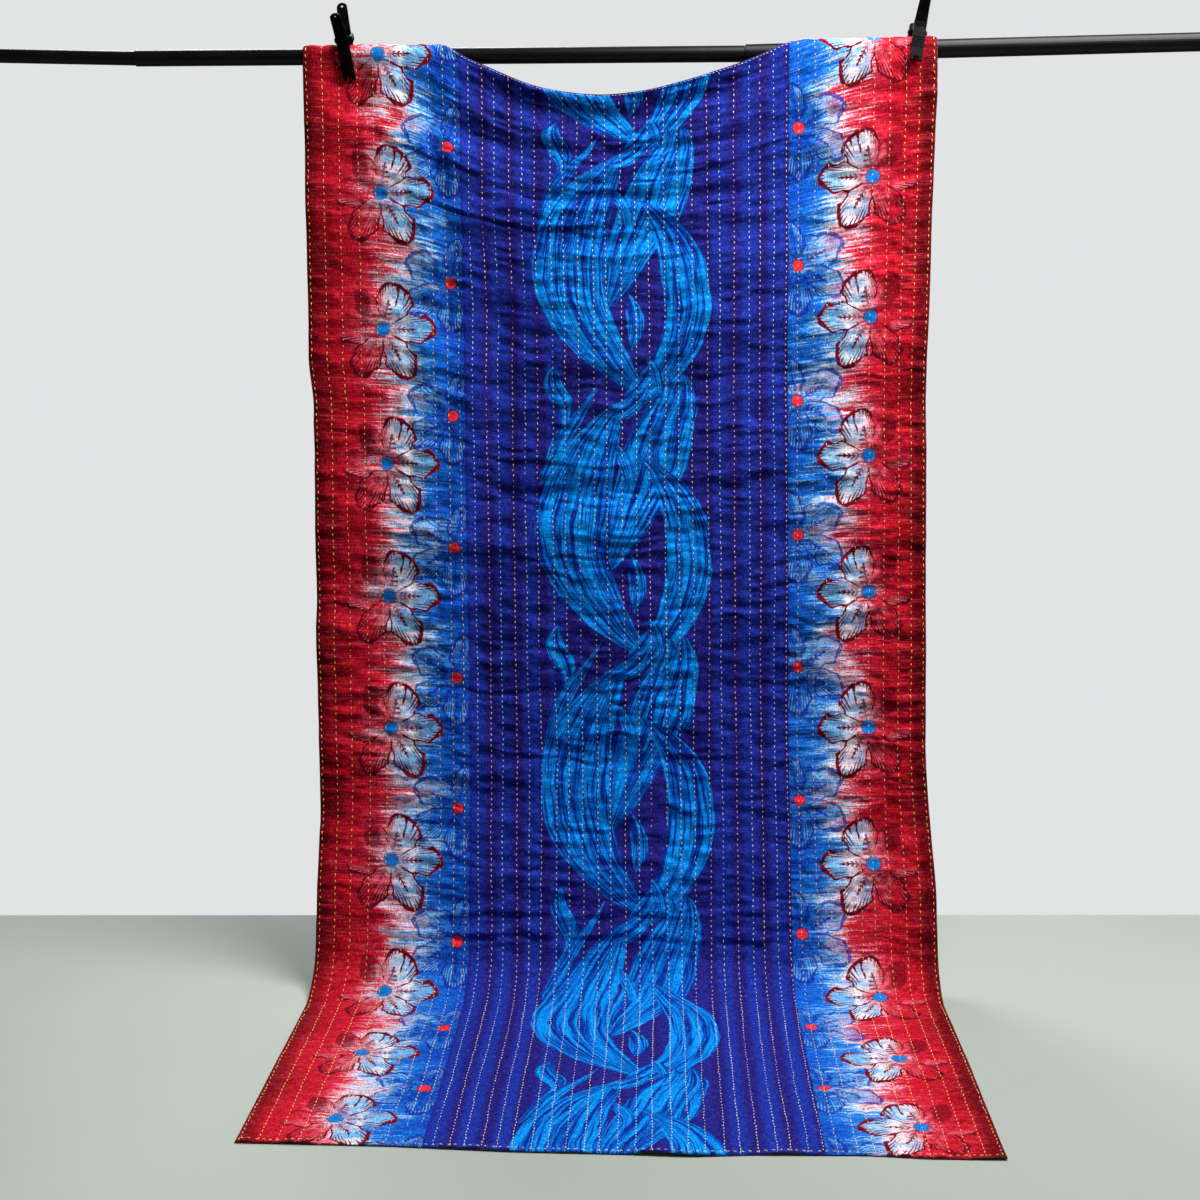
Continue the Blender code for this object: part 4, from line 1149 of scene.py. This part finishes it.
def floor_material():
    n = Nodes("plain_floor", rgb(166, 174, 165), roughness=0.6)
    patches = n.speckle((1.3, 1.3, 1.3), 3.0)
    n.set(base_color=n.mix(patches, rgb(155, 164, 155), rgb(165, 173, 165)))
    return n.material


# ---- the clamps' arms
def plan_body(clamp):
    """A body that stands for the room which an arm's front view leaves it."""
    place, sideways, forward = CLAMPS[clamp]
    across, up = HANDLE_TOP
    turns = [math.pi * k / HANDLE_STEPS for k in range(1, HANDLE_STEPS)]
    cap = [(across * math.cos(a), ARM_PLAN[-1][1] + up * math.sin(a)) for a in turns]
    plan = list(ARM_PLAN) + cap + [(-x, z) for x, z in ARM_PLAN[::-1]]
    count = len(plan)
    points = [(x, side * PLAN_REACH, z) for side in (-1, 1) for x, z in plan]
    faces = [tuple(range(count)), tuple(range(2 * count - 1, count - 1, -1))]
    faces += [(k, k + count, (k + 1) % count + count, (k + 1) % count) for k in range(count)]
    body = mesh_object("plan", points, faces, smooth=False)
    lean = Matrix.Rotation(math.radians(sideways), 4, "Y")
    turn = lean @ Matrix.Rotation(math.radians(forward), 4, "X")
    body.data.transform(Matrix.Translation((place, BAR_Y, float(bar_height(place)))) @ turn)
    return body


def make_arm(node, clamp, material):
    """A clamp's arm as its solid, but its handle tapers to a rounded end and its edges are soft."""
    work = bmesh.new()
    work.from_mesh(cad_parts[node].data)
    bmesh.ops.remove_doubles(work, verts=work.verts, dist=1e-6)
    flat = math.radians(1.0)
    bmesh.ops.dissolve_limit(work, angle_limit=flat, verts=work.verts, edges=work.edges)
    mesh = bpy.data.meshes.new(f"{node}_rounded")
    work.to_mesh(mesh)
    work.free()
    arm = link(f"{node}_rounded", mesh)
    plan = plan_body(clamp)
    cut = arm.modifiers.new("plan", "BOOLEAN")
    cut.operation = "INTERSECT"
    cut.object = plan
    graph = bpy.context.evaluated_depsgraph_get()
    arm.data = bpy.data.meshes.new_from_object(arm.evaluated_get(graph))
    arm.modifiers.clear()
    bpy.data.objects.remove(plan)
    give(arm, material)
    edge = arm.modifiers.new("soft_edges", "BEVEL")
    edge.width = ARM_BEVEL
    edge.segments = 2
    edge.limit_method = "ANGLE"
    edge.angle_limit = math.radians(40)
    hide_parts(node)
    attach(arm, "root")


# ---- dressing the solids
def give(obj, material):
    obj.data.materials.clear()
    obj.data.materials.append(material)


def dress_hardware():
    coat, plastic, steel = bar_material(), clamp_material(), steel_material()
    for part in ("left", "middle", "right"):
        give(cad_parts[f"bar_{part}"], coat)
    for clamp in CLAMPS:
        for part in ("pin", "spring"):
            give(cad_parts[f"{clamp}_{part}"], steel)
        for part in ("front", "rear"):
            make_arm(f"{clamp}_{part}_arm", clamp, plastic)


# ---- floor, light, camera
def make_floor():
    back = BAR_Y + FLOOR_BACK
    points = [(-FLOOR_SIDE, FLOOR_FRONT, 0.0), (FLOOR_SIDE, FLOOR_FRONT, 0.0),
              (FLOOR_SIDE, back, 0.0), (-FLOOR_SIDE, back, 0.0)]
    floor = mesh_object("floor", points, [(0, 1, 2, 3)], smooth=False)
    give(floor, floor_material())
    floor.visible_diffuse = False


def make_lamp(name, place, target, size, power, colour):
    lamp = bpy.data.lights.new(name, "AREA")
    lamp.shape = "DISK"
    lamp.size = size
    lamp.energy = power
    lamp.color = colour
    obj = link(name, lamp)
    obj.location = place
    obj.rotation_euler = (Vector(target) - Vector(place)).to_track_quat("-Z", "Y").to_euler()
    obj.visible_camera = False


def make_world():
    """Soft light from all round, and a paler plain backdrop where the camera looks past it all."""
    world = bpy.data.worlds.new("studio")
    bpy.context.scene.world = world
    world.use_nodes = True
    nodes, links = world.node_tree.nodes, world.node_tree.links
    lighting, backdrop = nodes["Background"], nodes.new("ShaderNodeBackground")
    lighting.inputs["Color"].default_value = WORLD_COLOUR
    lighting.inputs["Strength"].default_value = WORLD_STRENGTH
    backdrop.inputs["Color"].default_value = rgb(226, 227, 228)
    seen, chosen = nodes.new("ShaderNodeLightPath"), nodes.new("ShaderNodeMixShader")
    links.new(seen.outputs["Is Camera Ray"], chosen.inputs[0])
    links.new(lighting.outputs[0], chosen.inputs[1])
    links.new(backdrop.outputs[0], chosen.inputs[2])
    links.new(chosen.outputs[0], nodes["World Output"].inputs["Surface"])


def make_lights():
    make_world()
    for name, lamp in LAMPS.items():
        make_lamp(name, *lamp)
    bpy.context.scene.view_settings.view_transform = "Standard"


def make_camera():
    camera = bpy.data.cameras.new("camera")
    camera.sensor_width = SENSOR_WIDTH
    camera.lens = FOCAL_PIXELS / FRAME_PIXELS * SENSOR_WIDTH
    obj = link("camera", camera)
    level = math.cos(CAMERA_PITCH)
    ahead = Vector((-math.sin(CAMERA_YAW) * level, math.cos(CAMERA_YAW) * level,
                    math.sin(CAMERA_PITCH)))
    right = Vector((math.cos(CAMERA_YAW), math.sin(CAMERA_YAW), 0.0))
    up = right.cross(ahead)
    turn = Matrix((right, up, -ahead)).transposed() @ Matrix.Rotation(CAMERA_ROLL, 3, "Z")
    place = Vector((CAMERA_X, BAR_Y - CLOTH_TO_BAR - CAMERA_TO_CLOTH, CAMERA_HEIGHT))
    obj.matrix_world = Matrix.Translation(place) @ turn.to_4x4()
    bpy.context.scene.camera = obj


# ---- the whole
def make_quilt():
    face = make_face()
    backing = make_backing()
    stitches = make_stitches()
    gold = thread_material("gold_thread", *GOLD)
    pale = thread_material("pale_thread", *PALE)
    for piece, thread in zip(stitches, (gold, pale, pale)):
        give(piece, thread)
    for piece in [face, backing] + stitches:
        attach(piece, "root")
    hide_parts("quilt")


make_quilt()
dress_hardware()
make_floor()
make_lights()
make_camera()
